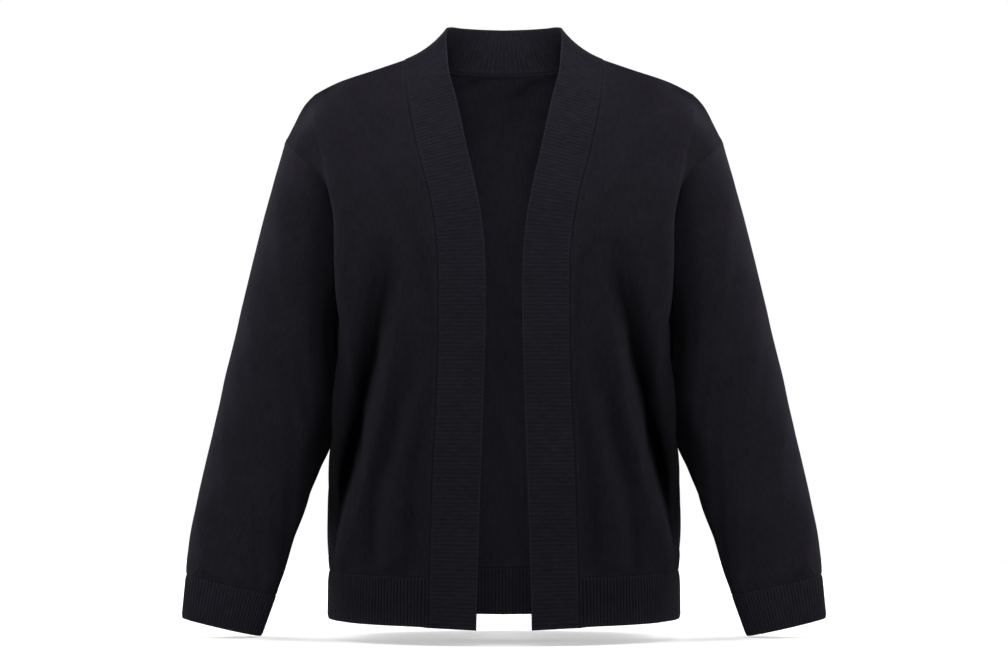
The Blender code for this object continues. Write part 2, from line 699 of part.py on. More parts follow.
def main():
    for thing in list(bpy.data.objects):
        bpy.data.objects.remove(thing)

    half_back = back_points()
    back_halves = [half_back[:, :0:-1], mirrored(half_back)[:, ::-1]]
    back = Net(folded(np.concatenate(back_halves, axis=1), BACK_FOLDS), False)
    front_left = Net(folded(front_points(), FRONT_FOLDS_LEFT), False)
    front_right = Net(mirrored(folded(front_points(), FRONT_FOLDS_RIGHT)), False)
    plain_sleeve = sleeve_points()
    sleeve = sleeve_folded(plain_sleeve, SLEEVE_FOLDS, BACK_OF_ELBOW)
    band = band_points()
    cuff = np.stack([plain_sleeve[-1], ring_points(CUFF_END, plain_sleeve.shape[1] // 2)])

    plain = {
        "back": back,
        "front_right": front_right,
        "front_left": front_left,
        "sleeve_right": Net(mirrored(sleeve), True),
        "sleeve_left": Net(sleeve, True),
    }
    ribbed = {
        "cuff_right": (Net(mirrored(cuff), True), CUFF_PITCH, RIB_COLOUR),
        "cuff_left": (Net(cuff, True), CUFF_PITCH, RIB_COLOUR),
        "hem_rib_back": (hem_net(back), HEM_PITCH, RIB_COLOUR),
        "hem_rib_right": (hem_net(front_right, mirrored(band)[0, 0]), HEM_PITCH, RIB_COLOUR),
        "hem_rib_left": (hem_net(front_left, band[0, -1]), HEM_PITCH, RIB_COLOUR),
        "band_right": (Net(mirrored(band), False), BAND_PITCH, BAND_COLOUR),
        "band_left": (Net(band, False), BAND_PITCH, BAND_COLOUR),
    }
    seams = Seams()
    for name, net in plain.items():
        seams.add(surface_of(name), net)
    for name, (net, _, _) in ribbed.items():
        seams.add(surface_of(name), net)
    for name, net in plain.items():
        make_plain(name, net, seams)
    for name, (net, pitch, colour) in ribbed.items():
        make_ribbed(name, net, seams, pitch, colour)


main()
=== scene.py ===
"""Looks of an open-front knitted cardigan, filled out and hollow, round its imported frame.

+Z is up and the front faces -Y. Tables are in millimetres and give the wearer's left half, which
is mirrored for the right. The lines and rows of the pieces are those of the part's own source, so
each piece lies where its solid is. The folds, the slack and the shade are this script's own.
"""
import json
import math
from collections import namedtuple

import bpy
import numpy as np
from bpy.props import FloatProperty, FloatVectorProperty, PointerProperty
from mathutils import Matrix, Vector


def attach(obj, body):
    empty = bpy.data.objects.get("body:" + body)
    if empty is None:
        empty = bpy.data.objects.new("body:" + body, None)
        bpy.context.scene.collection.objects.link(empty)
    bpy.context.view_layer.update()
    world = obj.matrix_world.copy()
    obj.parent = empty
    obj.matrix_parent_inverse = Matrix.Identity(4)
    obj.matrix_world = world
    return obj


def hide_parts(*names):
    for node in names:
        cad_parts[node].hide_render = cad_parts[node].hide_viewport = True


bl_info = {
    "name": "Open-front cardigan",
    "version": (1, 0, 0),
    "blender": (4, 5, 0),
    "location": "3D View > Sidebar > Cardigan",
    "description": "Knits the panels, sleeves, band, cuffs and hem of a filled-out cardigan",
    "category": "Object",
}

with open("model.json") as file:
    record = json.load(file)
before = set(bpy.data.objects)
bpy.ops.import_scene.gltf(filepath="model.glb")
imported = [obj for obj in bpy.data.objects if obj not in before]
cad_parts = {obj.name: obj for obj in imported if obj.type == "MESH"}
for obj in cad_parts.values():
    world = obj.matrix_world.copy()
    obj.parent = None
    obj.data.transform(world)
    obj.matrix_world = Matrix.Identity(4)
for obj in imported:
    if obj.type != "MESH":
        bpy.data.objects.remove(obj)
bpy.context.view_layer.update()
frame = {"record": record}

MM = 0.001

# How finely each piece is divided.
FACE_COLUMNS = 48       # from the band, or the shoulder's neck end, to the front's crease
FLANK_COLUMNS = 16      # from the crease to the armhole or side seam
NECK_COLUMNS = 30       # half of the back neckline
ROW_STEPS = 10          # rows in each stretch of the tables below
RING_STEPS = 10
BAND_ROWS = 14          # across the band
RIB_ROWS = 16           # down the hem's rib and the cuffs
EDGE_LINES = (1.6, 2.4, 3.3, 4.4, 5.8, 7.6)     # extra lines along each edge, by distance
EDGE_CLEAR = 1.5        # how far past the last of them the piece's own lines go on
RIB_PLACES = (0.0, 0.11, 0.26, 0.5, 0.74, 0.89)     # columns in each rib, closest at its grooves
EDGE_TURNS = (0.25, 0.5, 0.75)      # lines round the wall's edge, as shares of its turn
FLOOR_SIDES = 96

# How finely the lines are worked out that the pieces are divided from.
SHOULDER_STEPS = 12     # from point to point of the shoulder seam
BAND_STEPS = 24         # from row to row of the band
CURVE_STEPS = 400       # round a row to its crease
TURN_STEPS = 60         # from the crease to the side

FOLD_FACING = (0.25, 1.0, 1.0)     # how far folds follow a surface that turns to the side
FOLD_REACH = 14.0       # how far from a seam the folds reach their full height
FOLD_EASE = 0.8         # how slowly a fold starts and ends, and how slowly on the back
BACK_EASE = 1.4
SLEEVE_FACE = 0.4       # the sine of the turn from the sleeve's outer line where folds are full
RIDGE_HIGH = 0.3        # the ridge beside a seam: its height, its distance from it and its width
RIDGE_AT = 2.4
RIDGE_WIDE = 1.3
ROLL_HIGH = 0.35        # how far the first row of knitting rolls up at a free edge
SEAM_LAP = 0.4          # how far each sewn edge reaches over its seam
ARMHOLE_TUCK = 1.3      # how much further it does so within, low at the armhole
TUCK_START = 50.0       # how far below the shoulder's tip it is full
TUCK_END = 8.0          # how far below the underarm it is gone
TUCK_BEYOND = 150.0     # only edges this far from the body's middle have it
ALLOWANCE_AT = 2.6      # a seam's turned-in edge: its distance from the seam and its width
ALLOWANCE_WIDE = 1.9
HEM_DEEP = 51.5         # height of the hem's rib
HEM_FULLNESS = 0.5      # how far the panels stand out above it
HEM_FLARE = 1.2         # how much wider the hem's rib is at its lower edge
HEM_CORNER = 16.0       # how far from the band the hem's edge turns down to it
BLOUSE_AT = 11.0        # how far above a tighter rib the cloth stands out most
PUCKER_AT = 7.0         # and where its puckers are highest
PUCKER_SHARE = 0.22     # their height, as a share of how far it stands out

# Ribs, by their distance from the edges.
RIB_SEWN = 0.3          # their height at their seam, as a share of their full height
RIB_SEWN_REACH = 3.5    # how far from the seam they reach that
RIB_END = 1.6           # how far from the free edge they end
RIB_END_REACH = 2.6     # and how much further off they reach their full height
ROLL_AT = 1.2           # the roll of the free edge: its distance from the edge and its width
ROLL_WIDE = 1.4

# How a sewn edge bulges, and how much thicker its turned-in edge makes the wall, inwards.
Seam = namedtuple("Seam", "bulge allowance")
PLAIN_SEAM = Seam(0.7, 0.8)
RIB_SEAM = Seam(0.6, 0.5)

# A kind of ribbing: its material and slot, its painted shade between the ribs as a share, how
# narrow the ribs are on top, and how much thicker it is outside and within than the other ribs.
Ribbing = namedtuple("Ribbing", "material slot contrast sharpness proud thicker")
HEM_RIBBING = Ribbing("Hem_rib_knit", "rib", 0.75, 1.4, 0.0, 0.0)
CUFF_RIBBING = Ribbing("Cuff_rib_knit", "rib", 0.6, 1.4, 0.0, 0.0)
BAND_RIBBING = Ribbing("Band_knit", "band", 0.3, 1.2, 0.3, 0.4)

# The band: its seam and its free edge, from the centre of the back neck, over the shoulder's neck
# end and down the front. "hollow" is how far the middle of its width sinks.
BandRow = namedtuple("BandRow", "seam_x seam_y seam_z edge_x edge_y edge_z hollow")
BAND = [
    BandRow(0.0, 81.0, -11.0, 0.0, 58.0, 35.5, 2.0),
    BandRow(42.0, 75.5, -9.5, 24.0, 54.5, 36.0, 2.0),
    BandRow(77.0, 57.0, -6.0, 45.0, 42.0, 36.5, 2.5),
    BandRow(99.0, 30.0, -2.0, 58.0, 24.0, 36.5, 3.5),
    BandRow(107.0, 2.0, -0.5, 62.5, 5.0, 32.0, 4.0),
    BandRow(106.5, -19.0, -17.0, 61.5, -13.0, 9.0, 2.5),
    BandRow(104.5, -38.0, -35.0, 59.0, -33.0, -14.0, 1.0),
    BandRow(100.5, -58.0, -59.0, 51.0, -57.0, -44.0, 0.0),
    BandRow(95.0, -79.0, -86.0, 45.0, -78.0, -71.5, 0.0),
    BandRow(87.5, -98.0, -116.0, 38.0, -98.0, -104.0, 0.0),
    BandRow(80.0, -112.0, -144.0, 31.0, -115.0, -134.5, 0.0),
    BandRow(74.0, -123.0, -176.0, 24.0, -128.0, -170.0, 0.0),
    BandRow(70.0, -131.0, -213.0, 19.8, -137.0, -212.0, 0.0),
    BandRow(69.3, -136.0, -280.0, 19.0, -142.0, -280.0, 0.0),
    BandRow(71.0, -137.0, -365.0, 21.5, -143.0, -365.0, 0.0),
    BandRow(75.0, -138.0, -440.0, 24.0, -144.0, -440.0, 0.0),
    BandRow(77.0, -138.0, -500.0, 26.0, -144.0, -500.0, 0.0),
    BandRow(79.5, -138.0, -605.0, 29.0, -144.0, -607.2, 0.0),
]
SHOULDER_END = 4        # the band's row at the shoulder's neck end

# The shoulder seam, from the neck end out to the armhole. It bends down at the crease.
SHOULDER_FACE = [
    (107.0, 2.0, -0.5), (138.0, 2.0, -11.0), (179.0, 1.0, -25.0), (204.0, 0.0, -38.0),
]
SHOULDER_DROP = [
    (204.0, 0.0, -38.0), (216.0, 0.0, -51.0), (229.5, 0.0, -77.0), (236.0, 0.0, -89.0),
]

# Seams of the armhole, front and back, from the shoulder down to the underarm, and the side seam.
SHOULDER_TIP = (236.0, 0.0, -89.0)
UNDERARM = (169.0, 0.0, -282.0)
ARMHOLE_FRONT = [
    SHOULDER_TIP, (226.0, -21.0, -100.0), (205.0, -42.0, -118.0), (186.0, -54.0, -146.0),
    (173.0, -55.0, -186.0), (165.0, -45.0, -231.0), (163.0, -25.0, -262.0), UNDERARM,
]
ARMHOLE_BACK = [
    SHOULDER_TIP, (227.0, 21.0, -102.0), (210.0, 42.0, -122.0), (194.0, 54.0, -152.0),
    (182.0, 56.0, -190.0), (172.0, 46.0, -231.0), (167.0, 26.0, -262.0), UNDERARM,
]
SIDE_SEAM = [
    UNDERARM, (170.5, 0.0, -338.0), (179.0, 2.0, -400.0), (188.0, 3.0, -460.0),
    (190.0, 3.0, -507.0), (187.2, 3.0, -550.0),
]

# Rows of the front, below the shoulder: where it meets the band, and the crease where it turns
# away to the side. "round" is the power of the curve between them: 2 is an ellipse.
FrontRow = namedtuple("FrontRow", "band_z crease_x crease_y crease_z round")
FRONT = [
    FrontRow(-50.0, 206.0, -33.0, -68.0, 2.0),
    FrontRow(-100.0, 193.5, -58.0, -107.0, 2.1),
    FrontRow(-145.0, 185.0, -77.0, -148.0, 2.2),
    FrontRow(-190.0, 180.5, -86.0, -190.0, 2.3),
    FrontRow(-235.0, 177.0, -85.0, -236.0, 2.3),
    FrontRow(-270.0, 175.3, -75.0, -267.0, 2.3),
    FrontRow(-298.0, 175.5, -62.0, -292.0, 2.3),
    FrontRow(-352.0, 179.5, -38.0, -346.0, 2.3),
    FrontRow(-410.0, 185.5, -18.0, -405.0, 2.2),
    FrontRow(-465.0, 189.7, -10.0, -462.0, 2.2),
    FrontRow(-510.0, 190.6, -9.0, -508.0, 2.2),
    FrontRow(-552.5, 187.6, -9.0, -550.5, 2.2),
]
FLANK_TURN = 0.7        # how soon a row reaches the width of its side seam behind the crease
CREASE_CLEAR = 0.999    # how near its crease a row may start, as a share of the crease's reach

# Rows of the back, below the neckline and shoulder, from the centre to the same kind of crease.
# "neck" is the share of each that lies below the neckline.
BackRow = namedtuple("BackRow", "centre_y centre_z crease_x crease_y crease_z round neck")
BACK = [
    BackRow(92.0, -52.0, 207.0, 31.0, -72.0, 2.1, 0.54),
    BackRow(102.0, -100.0, 199.0, 55.0, -110.0, 2.2, 0.51),
    BackRow(108.0, -145.0, 191.0, 68.0, -152.0, 2.3, 0.48),
    BackRow(111.0, -190.0, 184.0, 72.0, -192.0, 2.4, 0.46),
    BackRow(112.0, -235.0, 178.0, 68.0, -236.0, 2.4, 0.44),
    BackRow(112.5, -270.0, 175.5, 60.0, -268.0, 2.4, 0.42),
    BackRow(113.0, -298.0, 175.0, 54.0, -292.0, 2.4, 0.41),
    BackRow(114.0, -352.0, 177.5, 44.0, -346.0, 2.3, 0.4),
    BackRow(115.0, -412.0, 184.5, 22.0, -406.0, 2.3, 0.4),
    BackRow(116.0, -467.0, 189.0, 16.0, -463.0, 2.2, 0.4),
    BackRow(116.0, -512.0, 190.0, 14.0, -509.0, 2.2, 0.4),
    BackRow(115.0, -556.0, 187.0, 14.0, -551.5, 2.2, 0.4),
]

# Directions in which the back leaves the neckline and the shoulder seam.
NAPE_FALL = (0.0, 0.35, -1.0)
YOKE_FALL = (0.0, 1.0, -0.2)
YOKE_START = 0.5        # the share of the neckline after which it turns to the shoulder's direction

# Rings of the sleeve below the armhole, down to the cuff's lower edge: the outer and the inner
# point of each, how far its middle lies back, half its depth, and how far its front and back are
# drawn in towards the body.
Ring = namedtuple("Ring", "outer_x outer_z inner_x inner_z back half_depth drawn")
SLEEVE = [
    Ring(243.5, -116.0, 175.5, -295.0, 0.0, 55.0, 20.0),
    Ring(254.5, -154.0, 177.0, -310.0, 0.0, 59.0, 12.0),
    Ring(264.5, -192.0, 178.0, -326.0, 1.0, 61.0, 7.0),
    Ring(274.3, -232.0, 179.2, -343.0, 2.0, 61.5, 4.0),
    Ring(284.0, -271.0, 180.7, -360.0, 3.0, 60.0, 2.0),
    Ring(293.0, -310.0, 182.5, -378.0, 4.0, 57.0, 1.0),
    Ring(302.5, -349.0, 184.5, -396.0, 5.0, 53.5, 0.0),
    Ring(312.0, -391.0, 188.0, -418.0, 5.0, 50.0, 0.0),
    Ring(321.3, -432.0, 200.0, -447.0, 3.0, 45.5, 0.0),
    Ring(330.8, -474.0, 215.5, -487.0, 0.0, 40.0, 0.0),
    Ring(338.8, -515.0, 231.5, -532.0, -3.0, 34.0, 0.0),
    Ring(342.3, -556.0, 246.0, -578.0, -6.0, 27.0, 0.0),
]
CUFF_END = Ring(346.8, -603.0, 262.0, -622.5, -9.0, 21.5, 0.0)

# Folds: a line across the front view from its top, over its middle, to its foot, how wide it is
# to each side and how far it stands out, or sinks if that is negative. "outer" is its width on the
# side away from the body's middle, as a share of the other's. Those of the right front are written
# as if they were on the left, and those of the back are for both halves.
Fold = namedtuple(
    "Fold", "top_x top_z mid_x mid_z foot_x foot_z width height outer", defaults=(1.0,)
)
FRONT_FOLDS_RIGHT = [
    Fold(104.0, -225.0, 133.0, -370.0, 178.0, -552.0, 12.0, 5.5, 0.6),
    Fold(124.0, -195.0, 151.0, -362.0, 190.0, -535.0, 10.5, -25.0, 1.2),
    Fold(92.0, -295.0, 128.0, -420.0, 143.0, -600.0, 9.0, -3.0),
    Fold(62.0, -305.0, 105.0, -408.0, 124.0, -600.0, 9.0, 2.1),
    Fold(68.0, -315.0, 92.0, -420.0, 100.0, -600.0, 8.0, -1.8),
    Fold(160.0, -55.0, 112.0, -143.0, 86.0, -205.0, 13.0, 2.0),
    Fold(176.0, -500.0, 181.0, -525.0, 184.0, -552.0, 4.0, 1.8),
    Fold(166.0, -510.0, 170.0, -530.0, 172.0, -552.0, 3.5, 1.4),
    Fold(130.0, -60.0, 128.0, -100.0, 118.0, -150.0, 14.0, -1.6),
    Fold(88.0, -212.0, 90.0, -240.0, 92.0, -268.0, 9.0, -1.4),
]
FRONT_FOLDS_LEFT = [
    Fold(99.0, -215.0, 134.0, -365.0, 180.0, -545.0, 12.0, 5.2, 0.6),
    Fold(119.0, -195.0, 151.0, -360.0, 188.0, -530.0, 10.5, -24.0, 1.2),
    Fold(90.0, -290.0, 126.0, -418.0, 142.0, -600.0, 9.0, -2.8),
    Fold(62.0, -310.0, 102.0, -410.0, 120.0, -600.0, 9.0, 1.9),
    Fold(66.0, -310.0, 90.0, -430.0, 98.0, -600.0, 8.0, -1.8),
    Fold(152.0, -62.0, 118.0, -150.0, 92.0, -215.0, 13.0, 1.8),
    Fold(178.0, -505.0, 182.0, -528.0, 184.0, -552.0, 4.0, 1.6),
    Fold(168.0, -515.0, 171.0, -533.0, 173.0, -552.0, 3.5, 1.2),
    Fold(134.0, -66.0, 130.0, -106.0, 120.0, -158.0, 14.0, -1.5),
    Fold(86.0, -208.0, 89.0, -236.0, 92.0, -262.0, 9.0, -1.3),
]
BACK_FOLDS = [
    Fold(-88.0, -170.0, -118.0, -330.0, -148.0, -560.0, 12.0, 5.0, 0.7),
    Fold(-112.0, -185.0, -138.0, -340.0, -172.0, -540.0, 11.0, -14.0, 1.2),
    Fold(-30.0, -230.0, -56.0, -380.0, -70.0, -600.0, 12.0, 4.0),
    Fold(-46.0, -250.0, -80.0, -390.0, -98.0, -600.0, 11.0, -4.0),
    Fold(-8.0, -280.0, -24.0, -420.0, -34.0, -600.0, 12.0, -3.0),
    Fold(92.0, -160.0, 121.0, -325.0, 152.0, -560.0, 12.0, 5.0, 0.7),
    Fold(114.0, -195.0, 142.0, -350.0, 174.0, -545.0, 11.0, -13.0, 1.2),
    Fold(34.0, -270.0, 58.0, -400.0, 76.0, -600.0, 12.0, 3.8),
    Fold(52.0, -270.0, 84.0, -400.0, 104.0, -600.0, 11.0, -3.8),
    Fold(14.0, -300.0, 22.0, -430.0, 30.0, -600.0, 12.0, -2.6),
    Fold(2.0, -40.0, 4.0, -120.0, 8.0, -230.0, 20.0, -2.0),
    Fold(-150.0, -90.0, -110.0, -140.0, -76.0, -190.0, 12.0, 1.6),
    Fold(152.0, -96.0, 114.0, -146.0, 80.0, -200.0, 12.0, 1.5),
    Fold(-172.0, -500.0, -176.0, -525.0, -178.0, -552.0, 4.5, 1.6),
    Fold(170.0, -505.0, 175.0, -528.0, 178.0, -552.0, 4.5, 1.6),
]
SLEEVE_FOLDS = [
    Fold(240.0, -120.0, 236.0, -200.0, 231.0, -275.0, 10.0, 3.0),
    Fold(218.0, -130.0, 214.0, -190.0, 208.0, -262.0, 10.0, -3.0),
    Fold(244.0, -255.0, 222.0, -320.0, 204.0, -400.0, 10.0, -3.2),
    Fold(262.0, -270.0, 244.0, -350.0, 224.0, -430.0, 11.0, 2.6),
    Fold(300.0, -385.0, 277.0, -440.0, 258.0, -500.0, 10.0, -2.4),
    Fold(312.0, -420.0, 296.0, -480.0, 280.0, -545.0, 10.0, 2.4),
    Fold(300.0, -520.0, 286.0, -545.0, 272.0, -566.0, 5.0, -1.8),
    Fold(330.0, -528.0, 322.0, -548.0, 316.0, -562.0, 5.0, 1.4),
]
BACK_OF_ELBOW = [
    Fold(250.0, -150.0, 236.0, -225.0, 226.0, -300.0, 11.0, 2.8),
    Fold(286.0, -330.0, 262.0, -372.0, 238.0, -420.0, 10.0, -3.2),
    Fold(292.0, -372.0, 272.0, -412.0, 250.0, -462.0, 10.0, 3.0),
    Fold(318.0, -440.0, 298.0, -488.0, 276.0, -548.0, 10.0, -2.4),
    Fold(296.0, -512.0, 284.0, -540.0, 272.0, -566.0, 5.0, 1.6),
]

# How far the cloth lies out of the light: as folds, with a share of the light as their height,
# and below 0 where more of it falls.
FRONT_SHADE_RIGHT = [
    Fold(112.0, -215.0, 153.0, -362.0, 186.0, -535.0, 11.5, 0.88, 1.15),
    Fold(106.0, -230.0, 129.0, -366.0, 176.0, -545.0, 3.0, -0.3),
    Fold(92.0, -295.0, 128.0, -420.0, 143.0, -600.0, 9.0, 0.25),
    Fold(62.0, -305.0, 105.0, -408.0, 124.0, -600.0, 7.0, -0.05),
    Fold(68.0, -315.0, 92.0, -420.0, 100.0, -600.0, 8.0, 0.2),
]
FRONT_SHADE_LEFT = [
    Fold(111.0, -212.0, 153.0, -362.0, 186.0, -533.0, 11.5, 0.88, 1.2),
    Fold(104.0, -230.0, 130.0, -366.0, 176.0, -545.0, 3.5, -0.3),
    Fold(90.0, -290.0, 126.0, -418.0, 142.0, -600.0, 9.0, 0.25),
    Fold(62.0, -310.0, 102.0, -410.0, 120.0, -600.0, 7.0, -0.05),
    Fold(66.0, -310.0, 90.0, -430.0, 98.0, -600.0, 8.0, 0.2),
]
BACK_SHADE = [
    Fold(-112.0, -185.0, -138.0, -340.0, -172.0, -540.0, 10.0, 0.75, 1.6),
    Fold(-88.0, -170.0, -120.0, -330.0, -150.0, -560.0, 4.0, -0.25),
    Fold(-46.0, -250.0, -80.0, -390.0, -98.0, -600.0, 9.0, 0.3),
    Fold(-8.0, -280.0, -24.0, -420.0, -34.0, -600.0, 9.0, 0.2),
    Fold(114.0, -195.0, 142.0, -350.0, 174.0, -545.0, 10.0, 0.75, 1.6),
    Fold(92.0, -160.0, 123.0, -325.0, 154.0, -560.0, 4.0, -0.25),
    Fold(52.0, -270.0, 84.0, -400.0, 104.0, -600.0, 9.0, 0.3),
    Fold(14.0, -300.0, 22.0, -430.0, 30.0, -600.0, 9.0, 0.2),
]

# Painted light and shade along both of the body's sides, from the shoulder to the hem's foot.
SIDE_SHINE = [
    Fold(194.0, -36.0, 216.0, -70.0, 238.0, -108.0, 9.0, -0.5),
    Fold(203.0, -76.0, 196.5, -114.0, 188.5, -150.0, 4.0, 0.15),
    Fold(157.0, -425.0, 170.5, -482.0, 183.0, -560.0, 5.0, -0.7),
    Fold(165.0, -385.0, 177.0, -455.0, 183.0, -535.0, 5.0, 0.4),
    Fold(188.0, -500.0, 188.0, -560.0, 188.0, -720.0, 13.0, -1.2),
]

# The same on the sleeve where it lies beside the body, down from the shoulder: the line that it
# starts from in the front view, how dark it is there and how far it reaches.
Beside = namedtuple("Beside", "z line_x dark reach")
SLEEVE_SHADE = [
    Beside(-90.0, 200.0, 0.1, 12.0),
    Beside(-156.0, 183.0, 0.55, 20.0),
    Beside(-240.0, 178.7, 0.58, 34.0),
    Beside(-282.0, 177.6, 0.76, 28.0),
    Beside(-324.0, 177.0, 0.86, 22.0),
    Beside(-366.0, 180.0, 0.88, 17.0),
    Beside(-408.0, 187.0, 0.86, 22.0),
    Beside(-450.0, 203.0, 0.36, 24.0),
    Beside(-490.0, 219.0, 0.05, 15.0),
    Beside(-560.0, 245.0, -0.1, 12.0),
]
BACK_SHARE = 0.6        # how dark the sleeve's back is beside the body, as a share of its front
OUTER_SHINE = -0.35     # painted light on the sleeve's outer side
OUTER_CALM = 0.8        # how much less the sleeve's slack shows there
OUTER_REACH = 0.16      # how far in from the outer line that reaches, as a share of the radius
UPPER_START = -240.0    # from where up the sleeve that shine grows, and how far that takes
UPPER_REACH = 80.0

# Painted shade along each piece's edges, in the grooves of its seams, or below 0 painted light.
# Beside a dark groove, painted light lies on the ridge that the seam raises.
FRONT_SEAM_SHADE = {"top": 0.1, "left": 0.28, "right": -0.1, "bottom": -0.12}
BACK_SEAM_SHADE = {"top": 0.2, "left": -0.1, "right": -0.1, "bottom": -0.12}
SLEEVE_SEAM_SHADE = {"top": -0.15, "bottom": -0.12}
RIB_SEAM_SHADE = {"top": -0.12}
BAND_SEAM_SHADE = {"top": 0.2, "left": 0.28, "bottom": -0.4}
RIDGE_SHINE = 0.5       # how light the painted highlight on the ridge is, as a share of how dark the groove is
GROOVE_WIDE = 1.1       # how far each of them reaches
DARKEST = 0.97          # no cloth lies further out of the light

# Painted light and shade on whole pieces and on parts of them, as shares of the light: below 0
# where they are painted lighter than their yarn's colour.
SLEEVE_PAINTED_LIGHT = -0.09
CUFF_PAINTED_LIGHT = -0.15
BAND_PAINTED_SHADE = 0.1
COLLAR_PAINTED_LIGHT = -0.6    # painted light on the inner side of the band, at the back of the neck
COLLAR_REACH = 55.0     # how far to each side that reaches
NAPE_SHINE = -0.5       # painted light inside, along the seam at the top of each panel
NAPE_REACH = 2.0        # how far down that reaches
LOW_PAINTED_SHADE = 0.18         # painted shade at the foot of the fronts, and on the hem's rib
LOW_START = -250.0      # from where on the body the painted shade grows darker downwards, and how far that takes
LOW_REACH = 250.0
BAND_LOW_PAINTED_SHADE = 0.09    # painted shade at the band's foot
FOOT_SHINE = -0.28      # painted light at the free edge of the hem's rib, and how far up that reaches
FOOT_REACH = 9.0

# Slack in the whole garment: waves of so many millimetres across and down, their start and size.
Wave = namedtuple("Wave", "across down start size")
BODY_WAVES = [
    Wave(61.0, 230.0, 0.4, 1.1),
    Wave(37.0, 150.0, 2.1, 0.7),
    Wave(93.0, -310.0, 4.0, 1.3),
    Wave(24.0, 95.0, 1.2, 0.3),
]
SLEEVE_WAVES = [
    Wave(70.0, 120.0, 1.0, 0.9),
    Wave(-52.0, 84.0, 3.1, 0.7),
    Wave(31.0, 60.0, 0.2, 0.35),
]
SLEEVE_ROUND = 280.0    # how far round the sleeve those waves are counted, whatever its ring
RIB_WAVES = [
    Wave(83.0, 400.0, 0.8, 0.7),
    Wave(47.0, -300.0, 2.6, 0.35),
]

# Small waves along a piece: how far each turns from place to place, its start and its size. The
# puckers' places are millimetres, and the ribs' places are their numbers.
Ripple = namedtuple("Ripple", "turn start size")
PUCKERS = [Ripple(0.61, 0.0, 1.0), Ripple(0.97, 1.0, 0.7), Ripple(0.23, 0.0, 1.0)]
UNEVEN_RIBS = [Ripple(0.9, 0.0, 0.12), Ripple(0.37, 2.0, 0.08)]

# A net is a grid of outer points, rows down the piece and columns across it, seen from outside
# with the rows running down and the columns to the right. "closed" says that it goes all round.
# "sewn" names the edges that meet another piece: top, bottom, left and right. "shade" is how far
# the cloth lies out of the light.
Net = namedtuple("Net", "points closed sewn shade", defaults=(0.0,))


# --- Lines and nets -------------------------------------------------------------------------

def unit(vectors):
    """Vectors of length 1."""
    length = np.linalg.norm(vectors, axis=-1, keepdims=True)
    return vectors / np.maximum(length, 1e-12)


def smooth(rows, steps, leave=None):
    """A smooth surface or line through rows of points, with so many steps from row to row.

    It leaves the first row in the directions given, or else as the next rows suggest.
    """
    rows = np.asarray(rows, float)
    chord = np.linalg.norm(np.diff(rows, axis=0), axis=-1, keepdims=True)
    span = np.maximum(chord, 1e-6) ** 0.5
    slope = np.diff(rows, axis=0) / span
    across = (rows[2:] - rows[:-2]) / (span[1:] + span[:-1])
    inner = slope[:-1] - across + slope[1:]
    first = 1.5 * slope[0] - 0.5 * inner[0] if leave is None else unit(leave) * span[0]
    last = 1.5 * slope[-1] - 0.5 * inner[-1]
    tangent = np.concatenate([first[None], inner, last[None]])
    result = []
    for index in range(len(rows) - 1):
        for step in range(steps):
            t = step / steps
            start = (2 * t ** 3 - 3 * t ** 2 + 1) * rows[index]
            leaving = (t ** 3 - 2 * t ** 2 + t) * span[index] * tangent[index]
            end = (3 * t ** 2 - 2 * t ** 3) * rows[index + 1]
            arriving = (t ** 3 - t ** 2) * span[index] * tangent[index + 1]
            result.append(start + leaving + end + arriving)
    result.append(rows[-1])
    return np.array(result)


def along(line):
    """How far each point of a line lies from its start."""
    steps = np.linalg.norm(np.diff(line, axis=0), axis=-1)
    return np.concatenate([[0.0], np.cumsum(steps)])


def read_at(places, length, values):
    """Values given at lengths along a line, read at places along it."""
    return np.stack([np.interp(places, length, column) for column in values.T], axis=-1)


def evenly(line, count):
    """The line again, in so many equal steps."""
    length = along(line)
    return read_at(np.linspace(0.0, length[-1], count + 1), length, line)


def parted(line, share, first, second):
    """The line in two parts, the first a share of its length, each in so many equal steps."""
    length = along(line)
    split = share * length[-1]
    rest = np.linspace(split, length[-1], second + 1)[1:]
    return read_at(np.concatenate([np.linspace(0.0, split, first + 1), rest]), length, line)


def lengths(points, axis):
    """How far each of a net's points lies from its first row, or column, along the net."""
    steps = np.linalg.norm(np.diff(points, axis=axis), axis=-1)
    start = np.zeros_like(np.take(points[..., 0], [0], axis=axis))
    return np.concatenate([start, np.cumsum(steps, axis=axis)], axis=axis)


def band_curve():
    """The band's seam, free edge and hollow, finely, against the row of its table."""
    table = np.array(BAND)
    seam = smooth(table[:, 0:3], BAND_STEPS)
    edge = smooth(table[:, 3:6], BAND_STEPS)
    row = np.arange(len(seam)) / BAND_STEPS
    hollow = np.interp(row, np.arange(len(table)), table[:, 6])
    return row, seam, edge, hollow


def band_seam(rows):
    """The band's seam points at rows of its table."""
    fine_row, seam, _, _ = band_curve()
    return read_at(rows, fine_row, seam)


def neck_rows():
    """Rows of the band's table, evenly along the seam from the back's centre to the shoulder."""
    fine_row, seam, _, _ = band_curve()
    half = fine_row <= SHOULDER_END
    length = along(seam[half])
    return np.interp(np.linspace(0.0, length[-1], NECK_COLUMNS + 1), length, fine_row[half])


def front_rows():
    """Rows of the band's table at the rows of the front panel."""
    fine_row, seam, _, _ = band_curve()
    down = fine_row >= SHOULDER_END
    levels = [0.0] + [row.band_z for row in FRONT]
    places = np.interp(-np.array(levels), -seam[down][:, 2], fine_row[down])
    steps = np.arange((len(places) - 1) * ROW_STEPS + 1) / ROW_STEPS
    return np.interp(steps, np.arange(len(places)), places)


